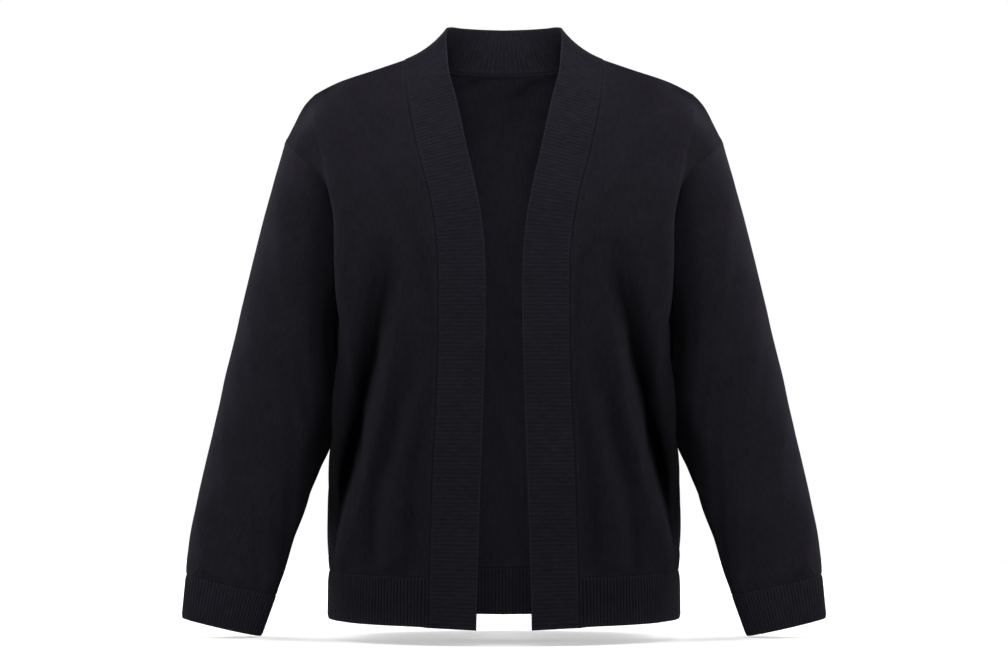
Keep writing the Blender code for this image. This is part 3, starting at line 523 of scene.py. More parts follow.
def superellipse(start, crease, power):
    """A line round from a start near the middle to the crease, where it runs front to back."""
    reach = crease[0]
    share = min(start[0] / reach, CREASE_CLEAR)
    depth = (start[1] - crease[1]) / (1.0 - share ** power) ** (1.0 / power)
    first = math.asin(share ** (power / 2.0))
    angles = np.linspace(first, math.pi / 2.0, CURVE_STEPS)
    x = reach * np.sin(angles) ** (2.0 / power)
    y = crease[1] + depth * np.maximum(np.cos(angles), 0.0) ** (2.0 / power)
    line = np.stack([x, y, np.zeros_like(x)], axis=-1)
    length = along(line)
    line[:, 2] = start[2] + (crease[2] - start[2]) * length / length[-1]
    return line


def flank(crease, side):
    """A line from the crease back to the seam at the side."""
    t = np.linspace(0.0, 1.0, TURN_STEPS)[:, None]
    crease, side = np.array(crease), np.array(side)
    turn = (crease + side) / 2.0
    turn[0] = crease[0] + FLANK_TURN * (side[0] - crease[0])
    return (1 - t) ** 2 * crease + 2 * t * (1 - t) * turn + t ** 2 * side


def shoulder_row():
    """The shoulder seam, from its neck end to the armhole."""
    face = evenly(smooth(SHOULDER_FACE, SHOULDER_STEPS), FACE_COLUMNS)
    drop = evenly(smooth(SHOULDER_DROP, SHOULDER_STEPS), FLANK_COLUMNS)
    return np.concatenate([face, drop[1:]])


def side_edge(armhole):
    """A panel's outer edge: the armhole down to the underarm, then the side seam."""
    return np.concatenate([smooth(armhole, ROW_STEPS), smooth(SIDE_SEAM, ROW_STEPS)[1:]])


def front_points():
    """The left front's points, from its band seam to its side, before its folds."""
    starts = band_seam(front_rows())
    edge = side_edge(ARMHOLE_FRONT)
    rows = [shoulder_row()]
    for index, row in enumerate(FRONT, start=1):
        crease = (row.crease_x, row.crease_y, row.crease_z)
        face = evenly(superellipse(starts[index * ROW_STEPS], crease, row.round), FACE_COLUMNS)
        turned = evenly(flank(crease, edge[index * ROW_STEPS]), FLANK_COLUMNS)
        rows.append(np.concatenate([face, turned[1:]]))
    points = smooth(rows, ROW_STEPS)
    points[:, 0] = starts
    points[:, -1] = edge
    return points


def back_yoke():
    """Directions in which the back leaves its top: down at the neck, backwards at the shoulder."""
    columns = NECK_COLUMNS + FACE_COLUMNS + FLANK_COLUMNS + 1
    place = np.arange(columns) / NECK_COLUMNS
    share = np.clip((place - YOKE_START) / (1.0 - YOKE_START), 0.0, 1.0)[:, None]
    return np.array(NAPE_FALL) * (1.0 - share) + np.array(YOKE_FALL) * share


def back_points():
    """The left half of the back, from its centre to its side, before its folds."""
    edge = side_edge(ARMHOLE_BACK)
    rows = [np.concatenate([band_seam(neck_rows()), shoulder_row()[1:]])]
    for index, row in enumerate(BACK, start=1):
        start = (0.0, row.centre_y, row.centre_z)
        crease = (row.crease_x, row.crease_y, row.crease_z)
        face = parted(superellipse(start, crease, row.round), row.neck, NECK_COLUMNS, FACE_COLUMNS)
        turned = evenly(flank(crease, edge[index * ROW_STEPS]), FLANK_COLUMNS)
        rows.append(np.concatenate([face, turned[1:]]))
    points = smooth(rows, ROW_STEPS, back_yoke())
    points[:, -1] = edge
    return points


def mirrored(points):
    """The same points on the other side of the body, read the other way across."""
    return (points * np.array([-1.0, 1.0, 1.0]))[:, ::-1]


def ring_points(ring, half_columns):
    """One ring of the sleeve, from its outer point over the back, inner side and front."""
    outer = np.array([ring.outer_x, ring.back, ring.outer_z])
    inner = np.array([ring.inner_x, ring.back, ring.inner_z])
    angle = np.arange(2 * half_columns) * math.pi / half_columns
    points = (outer + inner) / 2.0 + np.cos(angle)[:, None] * (outer - inner) / 2.0
    points[:, 0] -= ring.drawn * np.sin(angle) ** 4
    points[:, 1] += ring.half_depth * np.sin(angle)
    return points


def sleeve_points():
    """The left sleeve's points, from the armhole to the cuff, and round from its outer line."""
    front = smooth(ARMHOLE_FRONT, ROW_STEPS)
    back = smooth(ARMHOLE_BACK, ROW_STEPS)
    rings = [np.concatenate([back, front[-2:0:-1]])]
    rings += [ring_points(ring, len(front) - 1) for ring in SLEEVE]
    return smooth(rings, RING_STEPS)


def edged(points, axis, start=True, end=True):
    """A net with closer lines along its first and last row, or column."""
    grid = np.moveaxis(points, axis, 0)
    clear = EDGE_LINES[-1] + EDGE_CLEAR
    for wanted in (start, end):
        if wanted:
            length = lengths(grid, 0)
            keep = int(np.argmax(length.mean(axis=1) > clear))
            reach = length[keep] / clear
            places = np.concatenate([[0.0], EDGE_LINES])[:, None] * np.minimum(reach, 1.0)
            near = [read_at(places[:, k], length[:, k], grid[:, k]) for k in range(grid.shape[1])]
            grid = np.concatenate([np.stack(near, axis=1), grid[keep:]])
        grid = grid[::-1]
    return np.moveaxis(grid, 0, axis)


def grid_normals(points, closed):
    """Outward directions at a net's points."""
    down = np.gradient(points, axis=0)
    if closed:
        across = (np.roll(points, -1, axis=1) - np.roll(points, 1, axis=1)) / 2.0
    else:
        across = np.gradient(points, axis=1)
    return unit(np.cross(down, across))


def edge_distances(net):
    """How far each point of a net lies from each of its edges, along the net."""
    down = lengths(net.points, 0)
    found = {"top": down, "bottom": down[-1:] - down}
    if not net.closed:
        across = lengths(net.points, 1)
        found["left"] = across
        found["right"] = across[:, -1:] - across
    return found


# --- Folds, seams and ribs -------------------------------------------------------------------

def fold_height(points, folds, ease=FOLD_EASE):
    """How far folds move points out, by where these lie in the front view.

    The higher ease is, the more slowly each fold starts and ends.
    """
    x, z = points[..., 0], points[..., 2]
    height = np.zeros_like(x)
    for fold in folds:
        levels = np.array([fold.foot_z, fold.mid_z, fold.top_z])
        places = np.array([fold.foot_x, fold.mid_x, fold.top_x])
        curve = np.polyfit(levels, places, 2)
        slope = np.polyval(np.polyder(curve), z)
        off = (x - np.polyval(curve, z)) / np.sqrt(1.0 + slope ** 2)
        width = np.where(off * np.sign(places[1]) > 0.0, fold.width * fold.outer, fold.width)
        share = np.clip((fold.top_z - z) / (fold.top_z - fold.foot_z), 0.0, 1.0)
        height += fold.height * np.sin(np.pi * share) ** ease * np.exp(-((off / width) ** 2))
    return height


def wave_height(across, down, waves):
    """How far the cloth's slack moves points out."""
    height = 0.0
    for wave in waves:
        turn = 2.0 * math.pi * (across / wave.across + down / wave.down) + wave.start
        height = height + wave.size * np.sin(turn)
    return height


def ripple_height(places, ripples):
    """The sum of small waves at places along a piece."""
    return sum(ripple.size * np.sin(places * ripple.turn + ripple.start) for ripple in ripples)


def free_share(net, edges):
    """How fully the folds show: 0 along the edges named, rising to 1 further from them."""
    distances = edge_distances(net)
    share = np.ones(net.points.shape[:2])
    for edge in edges:
        t = np.clip(distances[edge] / FOLD_REACH, 0.0, 1.0)
        share = share * t * t * (3.0 - 2.0 * t)
    return share


def raised(net, height, folds=0.0):
    """The net with its points moved outwards, and by its folds mostly to the front or the back."""
    normals = grid_normals(net.points, net.closed)
    facing = unit(normals * np.array(FOLD_FACING))
    moved = normals * np.asarray(height)[..., None] + facing * np.asarray(folds)[..., None]
    return net._replace(points=net.points + moved)


def other_side(net):
    """The net of the same piece on the other side of the body."""
    swapped = {"left": "right", "right": "left"}
    sewn = tuple(swapped.get(edge, edge) for edge in net.sewn)
    return Net(mirrored(net.points), net.closed, sewn, net.shade[:, ::-1])


def seam_relief(net):
    """The ridge beside each sewn edge, and the groove at it."""
    distances = edge_distances(net)
    height = np.zeros(net.points.shape[:2])
    for edge in net.sewn:
        height += RIDGE_HIGH * np.exp(-(((distances[edge] - RIDGE_AT) / RIDGE_WIDE) ** 2))
    return height


def sleeve_turns(net):
    """How far round from the sleeve's outer line each of its columns is, as an angle."""
    columns = net.points.shape[1]
    return np.arange(columns) * 2.0 * math.pi / columns


def outer_share(turns):
    """1 on the sleeve's outer line, falling to 0 to both sides of it."""
    return np.exp((np.cos(turns) - 1.0) / OUTER_REACH)


def sleeve_shade(net):
    """How dark the sleeve lies beside the body, and how light on its outer side."""
    x, y, z = np.moveaxis(net.points, -1, 0)
    upper = np.clip((z - UPPER_START) / UPPER_REACH, 0.0, 1.0)
    outer = OUTER_SHINE * outer_share(sleeve_turns(net)) * (1.0 + upper)
    table = np.array(SLEEVE_SHADE)[::-1]
    line, dark, reach = (np.interp(z, table[:, 0], table[:, k]) for k in (1, 2, 3))
    share = np.exp(-((np.maximum(x - line, 0.0) / reach) ** 3))
    return dark * share * np.where(y < 0.0, 1.0, BACK_SHARE) + outer


def shaded(net, seam_shades, shade=0.0):
    """The net with the shade given, and that of the grooves and ridges along its edges."""
    distances = edge_distances(net)
    shade = shade + np.zeros(net.points.shape[:2])
    for edge, dark in seam_shades.items():
        shade += dark * np.exp(-((distances[edge] / GROOVE_WIDE) ** 2))
        if dark > 0.0:
            ridge = np.exp(-(((distances[edge] - RIDGE_AT) / GROOVE_WIDE) ** 2))
            shade -= dark * RIDGE_SHINE * ridge
    return net._replace(shade=np.minimum(shade, DARKEST))


def gathered(net, amount):
    """How far the cloth stands out where a tighter rib draws it in at its lower edge."""
    low = edge_distances(net)["bottom"]
    blouse = low / BLOUSE_AT * np.exp(1.0 - low / BLOUSE_AT)
    fade = low / PUCKER_AT * np.exp(1.0 - low / PUCKER_AT)
    puckers = ripple_height(lengths(net.points, 1), PUCKERS)
    return amount * (blouse + PUCKER_SHARE * fade * puckers)


def rib_profile(phase, sharpness):
    """The height of a rib over its pitch, from 0 in the groove to 1 on its ridge."""
    return np.abs(np.sin(np.pi * phase)) ** sharpness


def rib_columns(length, pitch):
    """The places of columns along a line of whole ribs, and the phase of each."""
    count = max(int(round(length / pitch)), 2)
    turns = np.append((np.arange(count)[:, None] + np.array(RIB_PLACES)).ravel(), count)
    return turns * length / count, turns


def rib_net(lines, pitch, closed, sewn):
    """A ribbed piece's net between lines, which run across it, and the phase of each column."""
    lines = [np.concatenate([line, line[:1]]) if closed else line for line in lines]
    length = along(np.mean(lines, axis=0))
    places, phase = rib_columns(length[-1], pitch)
    points = np.array([read_at(places, length, line) for line in lines])
    if closed:
        points, phase = points[:, :-1], phase[:-1]
    return Net(edged(points, 0), closed, sewn), phase


def rib_relief(net, phase, height, sharpness):
    """The ribs, lower where they are sewn on, and the rolled edge that they end in."""
    distances = edge_distances(net)
    ribs = height * (1.0 + ripple_height(phase, UNEVEN_RIBS)) * rib_profile(phase, sharpness)
    from_seam = np.clip(distances["top"] / RIB_SEWN_REACH, 0.0, 1.0)
    from_edge = np.clip((distances["bottom"] - RIB_END) / RIB_END_REACH, 0.0, 1.0)
    relief = ribs * (RIB_SEWN + (1.0 - RIB_SEWN) * from_seam) * from_edge
    return relief + ROLL_HIGH * np.exp(-(((distances["bottom"] - ROLL_AT) / ROLL_WIDE) ** 2))


# --- Pieces -----------------------------------------------------------------------------------

def low_share(points):
    """0 on the upper body, rising to 1 at the hem."""
    return np.clip((LOW_START - points[..., 2]) / LOW_REACH, 0.0, 1.0)


def side_shine(points):
    """Painted light and shade along the body's sides. It holds for points below the neck."""
    return fold_height(np.abs(points) * (1.0, 1.0, -1.0), SIDE_SHINE)


def panel_net(points, folds, shades, seam_shades, low=0.0, ease=FOLD_EASE):
    """A body panel's net with its folds, its slack and its fullness above the hem's rib."""
    net = Net(edged(edged(points, 0), 1), False, ("top", "bottom", "left", "right"))
    slack = wave_height(lengths(net.points, 1), lengths(net.points, 0), BODY_WAVES)
    free = free_share(net, net.sewn)
    full = gathered(net, HEM_FULLNESS) * free_share(net, ("left", "right"))
    # Painted shade and light from the shade folds, painted shade growing towards the hem, and
    # painted light and shade along the sides.
    shade = fold_height(net.points, shades, ease) + low * low_share(net.points)
    shade = shade + side_shine(net.points)
    net = raised(net, slack * free + full, fold_height(net.points, folds, ease) * free)
    return shaded(net, seam_shades, shade)


def back_net():
    """The whole back, from the wearer's left side to the right."""
    half = back_points()
    points = np.concatenate([half[:, :0:-1], mirrored(half)[:, ::-1]], axis=1)
    return panel_net(points, BACK_FOLDS, BACK_SHADE, BACK_SEAM_SHADE, ease=BACK_EASE)


def sleeve_net(fullness):
    """The left sleeve, with the folds on its back and on its front."""
    net = Net(edged(sleeve_points(), 0), True, ("top", "bottom"))
    turns = sleeve_turns(net)
    back, front = fold_height(net.points, BACK_OF_ELBOW), fold_height(net.points, SLEEVE_FOLDS)
    facing = 1.0 - (1.0 - np.minimum(np.abs(np.sin(turns)) / SLEEVE_FACE, 1.0)) ** 2
    folds = np.where(turns < math.pi, back, front) * facing
    places = turns / (2.0 * math.pi) * SLEEVE_ROUND
    slack = wave_height(places, lengths(net.points, 0), SLEEVE_WAVES)
    slack = slack * (1.0 - OUTER_CALM * outer_share(turns))
    free = free_share(net, net.sewn)
    net = raised(net, slack * free + gathered(net, fullness), folds * free)
    # Painted light on the whole sleeve and on its outer side, painted shade beside the body.
    return shaded(net, SLEEVE_SEAM_SHADE, SLEEVE_PAINTED_LIGHT + sleeve_shade(net))


def hem_net(top, pitch, band_foot=None):
    """The hem's rib below a panel, whose first corner turns down to the band's where it has one."""
    outward = unit(top * np.array([1.0, 1.0, 0.0]))
    foot = top + np.array([0.0, 0.0, -HEM_DEEP]) + outward * HEM_FLARE
    if band_foot is not None:
        near = np.clip(1.0 - along(foot) / HEM_CORNER, 0.0, 1.0)[:, None] ** 2
        foot = foot + (band_foot - foot[0]) * near
    lines = [top + (foot - top) * share for share in np.linspace(0.0, 1.0, RIB_ROWS + 1)]
    net, phase = rib_net(lines, pitch, False, ("top", "left", "right"))
    slack = wave_height(lengths(net.points, 1), lengths(net.points, 0), RIB_WAVES)
    net = raised(net, slack * free_share(net, net.sewn))
    # Painted light at the rib's free edge; with it painted shade towards the hem and painted light
    # and shade along the sides.
    foot_shine = FOOT_SHINE * np.exp(-((edge_distances(net)["bottom"] / FOOT_REACH) ** 2))
    return shaded(net, RIB_SEAM_SHADE, LOW_PAINTED_SHADE + side_shine(net.points) + foot_shine), phase


def cuff_net(pitch):
    """The left cuff, from the sleeve's last ring to the wrist."""
    top = sleeve_points()[-1]
    foot = ring_points(CUFF_END, len(top) // 2)
    lines = [top + (foot - top) * share for share in np.linspace(0.0, 1.0, RIB_ROWS + 1)]
    net, phase = rib_net(lines, pitch, True, ("top",))
    # The cuff is painted lighter all over.
    return shaded(net, RIB_SEAM_SHADE, CUFF_PAINTED_LIGHT), phase


def band_net(pitch):
    """The left half of the band, from its seam to its free edge and from the back to the hem."""
    _, seam, edge, hollow = band_curve()
    middle = (seam + edge) / 2.0
    out = unit(np.cross(edge - seam, np.gradient(middle, axis=0)))
    out[0, 0] = 0.0     # the back's centre lies on the plane of symmetry
    lines = []
    for share in np.linspace(0.0, 1.0, BAND_ROWS + 1):
        sunk = out * (hollow * 4.0 * share * (1.0 - share))[:, None]
        lines.append(seam * (1.0 - share) + edge * share - sunk)
    net, phase = rib_net(lines, pitch, False, ("top", "left"))
    # The band is painted darker all over, and more so towards its foot.
    return shaded(net, BAND_SEAM_SHADE, BAND_PAINTED_SHADE + BAND_LOW_PAINTED_SHADE * low_share(net.points)), phase


def evenly_lit(points):
    """No shade at any of the points."""
    return np.zeros(points.shape[:2])


def collar_painted_light(points):
    """How much painted light the band's inner side has behind the neck."""
    x, y = points[..., 0], points[..., 1]
    return COLLAR_PAINTED_LIGHT * np.exp(-((x / COLLAR_REACH) ** 4)) * (y > 0.0)


def both_sides(name, left, phase):
    """A ribbed piece's nets on the left and the right, each with the phase of its columns."""
    return {name + "_left": (left, phase), name + "_right": (other_side(left), phase[::-1])}


# --- Walls ------------------------------------------------------------------------------------

def armhole_tuck(points):
    """How much further a panel's or a sleeve's sewn edge reaches below its surface, by place."""
    x, z = np.abs(points[..., 0]), points[..., 2]
    share = np.clip((SHOULDER_TIP[2] - z) / TUCK_START, 0.0, 1.0)
    share = share * np.clip((z - UNDERARM[2]) / TUCK_END + 1.0, 0.0, 1.0)
    return np.where(x > TUCK_BEYOND, ARMHOLE_TUCK * share, 0.0)


def perimeter(net):
    """The loops of a net's edge points, each with its row, its column and the edges it is on."""
    rows, columns = net.points.shape[:2]
    if net.closed:
        top = [(0, j, ("top",)) for j in range(columns)]
        bottom = [(rows - 1, j, ("bottom",)) for j in range(columns)]
        return [top, bottom[::-1]]
    loop = [(0, j) for j in range(columns)]
    loop += [(i, columns - 1) for i in range(1, rows)]
    loop += [(rows - 1, j) for j in range(columns - 2, -1, -1)]
    loop += [(i, 0) for i in range(rows - 2, 0, -1)]
    named = []
    for i, j in loop:
        there = {"top": i == 0, "bottom": i == rows - 1, "left": j == 0, "right": j == columns - 1}
        named.append((i, j, tuple(edge for edge in there if there[edge])))
    return [named]


def knit_places(net, phase, pitch):
    """Where each point lies in the flat knitting, across and up, in metres."""
    points = net.points
    if net.closed:
        points = np.concatenate([points, points[:, :1]], axis=1)
    down = lengths(points, 0)
    if phase is None:
        across = lengths(points, 1)
        if net.closed:
            across = across - across[:, -1:] / 2.0
        else:
            side = 1.0 if points[0, -1, 0] > points[0, 0, 0] else -1.0
            middle = int(np.argmin(np.abs(points[..., 0]).mean(axis=0)))
            across = across + (side * points[..., 0] - across)[:, middle:middle + 1]
    else:
        turns = np.append(phase, round(phase[-1])) if net.closed else phase
        across = np.broadcast_to(turns * pitch, points.shape[:2])
    return np.stack([across, down[-1:] - down], axis=-1) * MM


def wall(name, net, thickness, relief, seam, phase=None, pitch=1.0, within=0.0, tuck=0.0):
    """A closed mesh of a net's wall with rounded edges, and its knitting as the UV map.

    The relief is raised from its outer side only. A sewn edge bulges as its seam says, a free one
    by half the thickness. within is the shade of the wall's inner side, and tuck how much further
    a sewn edge bulges.
    """
    points = net.points.copy()
    tuck = tuck + np.zeros(points.shape[:2])
    normals = grid_normals(points, net.closed)
    rows, columns = points.shape[:2]
    distances = edge_distances(net)
    depth = np.full((rows, columns), thickness)
    for edge in net.sewn:
        turned_in = (distances[edge] - ALLOWANCE_AT) / ALLOWANCE_WIDE
        depth += seam.allowance * np.exp(-(turned_in ** 2))

    inwards = {"top": (1, 0), "bottom": (-1, 0), "left": (0, 1), "right": (0, -1)}
    loops = perimeter(net)
    ways = []
    for loop in loops:
        out = []
        for i, j, edges in loop:
            inward = np.zeros(3)
            for down, across in (inwards[edge] for edge in edges):
                inward += unit(points[i + down, (j + across) % columns] - points[i, j])
            way = unit(-inward + normals[i, j] * inward.dot(normals[i, j]))
            if any(edge in net.sewn for edge in edges):
                points[i, j] -= way * (seam.bulge - SEAM_LAP)
                out.append(way * (seam.bulge + tuck[i, j]))
            else:
                points[i, j] -= way * thickness / 2.0
                out.append(way * thickness / 2.0)
        ways.append(np.array(out))

    outer = points + normals * relief[..., None]
    inner = points - normals * depth[..., None]
    number = np.arange(rows * columns).reshape(rows, columns)
    place = knit_places(net, phase, pitch)
    left = np.arange(place.shape[1] - 1)
    right = (left + 1) % columns
    upper, lower = number[:-1], number[1:]
    quads = np.stack([upper[:, left], lower[:, left], lower[:, right], upper[:, right]], axis=-1)
    quads = quads.reshape(-1, 4)
    spots = np.stack([place[:-1, :-1], place[1:, :-1], place[1:, 1:], place[:-1, 1:]], axis=2)
    spots = spots.reshape(-1, 4, 2)
    vertices = [outer.reshape(-1, 3), inner.reshape(-1, 3)]
    faces = [quads, quads[:, ::-1] + number.size]
    coordinates = [spots, spots[:, ::-1]]
    shades = [net.shade.ravel(), (within + np.zeros_like(net.shade)).ravel()]
    total = 2 * number.size
    for loop, out in zip(loops, ways):
        i, j = np.array([point[0] for point in loop]), np.array([point[1] for point in loop])
        after = np.roll(np.arange(len(loop)), -1)
        stack = [number[i, j]]
        for turn in EDGE_TURNS:
            across = (1.0 - math.cos(math.pi * turn)) / 2.0
            ring = outer[i, j] * (1.0 - across) + inner[i, j] * across
            vertices.append(ring + out * math.sin(math.pi * turn))
            shades.append(net.shade[i, j] * (1.0 - turn))
            stack.append(np.arange(len(loop)) + total)
            total += len(loop)
        stack.append(number[i, j] + number.size)
        spot = place[i, j]
        for upper, lower in zip(stack, stack[1:]):
            faces.append(np.stack([upper, upper[after], lower[after], lower], axis=-1))
            coordinates.append(np.stack([spot, spot[after], spot[after], spot], axis=1))
    return mesh_object(
        name, np.concatenate(vertices), np.concatenate(faces), np.concatenate(coordinates),
        np.concatenate(shades),
    )


def mesh_object(name, points, faces, places, shades):
    """An object of the given points, in millimetres, and four-sided faces."""
    mesh = bpy.data.meshes.new(name)
    mesh.vertices.add(len(points))
    mesh.vertices.foreach_set("co", (points * MM).astype(np.float32).ravel())
    mesh.loops.add(faces.size)
    mesh.loops.foreach_set("vertex_index", faces.astype(np.int32).ravel())
    mesh.polygons.add(len(faces))
    mesh.polygons.foreach_set("loop_start", np.arange(0, faces.size, 4, dtype=np.int32))
    mesh.update(calc_edges=True)
    mesh.uv_layers.new(name="Knit").uv.foreach_set("vector", places.astype(np.float32).ravel())
    shade = mesh.attributes.new("Shade", "FLOAT", "POINT")
    shade.data.foreach_set("value", shades.astype(np.float32))
    mesh.validate()
    mesh.shade_smooth()
    piece = bpy.data.objects.new(name, mesh)
    bpy.context.scene.collection.objects.link(piece)
    return piece


# --- Materials --------------------------------------------------------------------------------

# The stitches: how rounded a leg of the V is, how far it slants over its width, in stitches, and
# how deep the dip between two loops is.
LEG_ROUND = 0.7
LEG_SLANT = 0.85
LOOP_DEPTH = 0.45
RIDGE_NARROW = 3.0      # how narrow the painted highlight on top of a rib is

# The yarn's unevenness: the scale of each noise that makes it, and about the mean of their sum.
FIBRE_SCALE = 2600.0
GRAIN_SCALE = 520.0
STREAK_SCALE = 330.0
STREAK_SHAPE = (1.0, 0.25, 1.0)     # streaks run up and down
PATCH_SCALE = 26.0
MOTTLE_MEAN = 0.77

WHITE = (1.0, 1.0, 1.0, 1.0)
PAPER_MOTTLE = 1.02     # how much lighter the paper's light parts are
PAPER_GLOW = 0.32


class Value:
    """What a shader node gives out, for use in Python expressions."""

    def __init__(self, nodes, socket):
        self.nodes = nodes
        self.socket = socket

    def maths(self, operation, *terms):
        return self.nodes.node("ShaderNodeMath", {"operation": operation}, dict(enumerate(terms)))

    def __add__(self, other):
        return self.maths("ADD", self, other)

    def __sub__(self, other):
        return self.maths("SUBTRACT", self, other)

    def __mul__(self, other):
        return self.maths("MULTIPLY", self, other)

    def __truediv__(self, other):
        return self.maths("DIVIDE", self, other)

    def __pow__(self, other):
        return self.maths("POWER", self, other)

    def __radd__(self, other):
        return self.maths("ADD", other, self)

    def __rsub__(self, other):
        return self.maths("SUBTRACT", other, self)

    def __rmul__(self, other):
        return self.maths("MULTIPLY", other, self)

    def __rtruediv__(self, other):
        return self.maths("DIVIDE", other, self)

    def __rpow__(self, other):
        return self.maths("POWER", other, self)

    def __abs__(self):
        return self.maths("ABSOLUTE", self)

    def sine(self):
        return self.maths("SINE", self)

    def fraction(self):
        return self.maths("FRACT", self)


class Nodes:
    """The shader nodes of a material, or of the surround."""

    def __init__(self, owner):
        owner.use_nodes = True
        self.tree = owner.node_tree

    def node(self, kind, settings=None, sockets=None, output=0):
        """A node's output. Its settings are set first, and then its sockets' values or links."""
        node = self.tree.nodes.new(kind)
        for key, value in (settings or {}).items():
            setattr(node, key, value)
        self.join(node, sockets or {})
        return Value(self, node.outputs[output])

    def finish(self, name, sockets):
        """Sets or links sockets of the node that gives the result."""
        self.join(self.tree.nodes[name], sockets)

    def join(self, node, sockets):
        """Links each value to its socket of a node, or sets a number, colour or vector on it."""
        for key, value in sockets.items():
            if isinstance(value, Value):
                self.tree.links.new(value.socket, node.inputs[key])
            else:
                node.inputs[key].default_value = value

    def mix(self, share, first, second):
        """A colour between two. Sockets 6 and 7 and output 2 are those for colours."""
        return self.node(
            "ShaderNodeMix", {"data_type": "RGBA"}, {"Factor": share, 6: first, 7: second}, 2
        )

    def noise(self, place, scale, detail):
        """Soft noise from 0 to 1."""
        sockets = {"Vector": place, "Scale": scale, "Detail": detail}
        return self.node("ShaderNodeTexNoise", None, sockets)


def stitches(across, up, wale, course):
    """The height of the stitches, as a V in each wale, from 0 between them to 1 on the yarn."""
    side = abs((across / wale).fraction() - 0.5) * 2.0
    leg = (side * math.pi).sine() ** LEG_ROUND
    loop = ((up / course + side * LEG_SLANT) * (2.0 * math.pi)).sine() * 0.5 + 0.5
    return leg * (loop * LOOP_DEPTH + (1.0 - LOOP_DEPTH))


def knit_material(name, yarn, knitting, wale, ridge_pitch=None, contrast=0.0):
    """Knitted cloth: its stitches as bump, painted light on the yarn and ribs, painted shade
    between.

    contrast is how much painted shade darkens its colour between the ribs, as a share.
    """
    material = bpy.data.materials.new(name)
    knit = Nodes(material)
    spot = knit.node("ShaderNodeTexCoord", None, None, "Object")
    place = knit.node("ShaderNodeUVMap", {"uv_map": "Knit"})
    across = knit.node("ShaderNodeSeparateXYZ", None, {"Vector": place}, "X")
    up = knit.node("ShaderNodeSeparateXYZ", None, {"Vector": place}, "Y")
    drawn = knit.node(
        "ShaderNodeVectorMath", {"operation": "MULTIPLY"}, {0: place, 1: STREAK_SHAPE}
    )
    stitch = stitches(across, up, wale, knitting.course)
    fibre = knit.noise(spot, FIBRE_SCALE, 1.0)
    grain = knit.noise(place, GRAIN_SCALE, 1.0)
    streak = knit.noise(drawn, STREAK_SCALE, 2.0)
    patch = knit.noise(spot, PATCH_SCALE, 2.0)
    # How much each of them counts is set to match the photograph.
    mottle = grain * 0.65 + streak * 0.65 + patch * 0.25 - MOTTLE_MEAN
    # Painted shade between the stitches and painted light on them, by their height, mixed with the
    # yarn's own fibres and mottle.
    share = stitch * 0.4 + fibre * 0.3 + 0.15 + mottle
    light = yarn.light
    if ridge_pitch is not None:
        light = yarn.rib_light
        # Painted light along the top of each rib, and painted shade between the ribs.
        ridge = abs((across * (math.pi / ridge_pitch)).sine()) ** RIDGE_NARROW
        share = share * (ridge * contrast + (1.0 - contrast))
    colour = knit.mix(share, (*yarn.deep, 1.0), (*light, 1.0))
    # The Shade attribute paints shade into the base colour, and painted light where it is below 0.
    shade = knit.node("ShaderNodeAttribute", {"attribute_name": "Shade"}, None, "Fac")
    lit = knit.node(
        "ShaderNodeVectorMath", {"operation": "SCALE"}, {"Vector": colour, "Scale": 1.0 - shade}
    )
    bump = knit.node("ShaderNodeBump", None, {
        "Strength": knitting.stitch_strength,
        "Distance": knitting.stitch_depth,
        "Height": stitch + fibre * 0.35,
    })
    knit.finish("Principled BSDF", {
        "Base Color": lit,
        "Normal": bump,
        "Roughness": 0.98 - fibre * 0.12,
        "Specular IOR Level": yarn.gloss,
        "Sheen Weight": yarn.sheen,
        "Sheen Roughness": yarn.sheen_spread,
        "Sheen Tint": (*yarn.sheen_tint, 1.0),
    })
    return material


def paper_material(name, colour):
    """The matt paper of the studio's floor, which glows a little so that it stays white."""
    material = bpy.data.materials.new(name)
    paper = Nodes(material)
    spot = paper.node("ShaderNodeTexCoord", None, None, "Object")
    light = [min(part * PAPER_MOTTLE, 1.0) for part in colour]
    paper.finish("Principled BSDF", {
        "Base Color": paper.mix(paper.noise(spot, 3.0, 1.0), (*colour, 1.0), (*light, 1.0)),
        "Roughness": 0.9,
        "Specular IOR Level": 0.0,
        "Emission Color": WHITE,
        "Emission Strength": PAPER_GLOW,
    })
    return material


def dress(piece, node, material):
    """Hangs a finished piece on the frame in place of its plain solid."""
    piece.data.materials.append(material)
    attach(piece, "root")
    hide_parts(node)


def knit_ribs(scene, ribbing, pitch, rise, nets, within=evenly_lit):
    """Knits and dresses ribbed pieces from their nets, each with the phase of its columns.

    rise is how far a rib stands out, and within gives the shade of the inner side at points.
    """
    knitting = scene.cardigan_knitting
    material = knit_material(
        ribbing.material, scene.cardigan_yarn, knitting, pitch / 2.0, pitch, ribbing.contrast
    )
    thickness = knitting.rib_thick / MM + ribbing.thicker
    for node, (net, phase) in nets.items():
        relief = ribbing.proud + rib_relief(net, phase, rise / MM, ribbing.sharpness)
        name = node.capitalize() + "_knit"
        inside = within(net.points)
        piece = wall(name, net, thickness, relief, RIB_SEAM, phase, pitch / MM, inside)
        dress(piece, node, material)


# --- What a user may change -------------------------------------------------------------------

def slot_colour(name):
    """The colour that the record gives a material slot."""
    slots = {slot["slot"]: slot for slot in frame["record"]["materials"]}
    return tuple(slots[name]["base_color"])


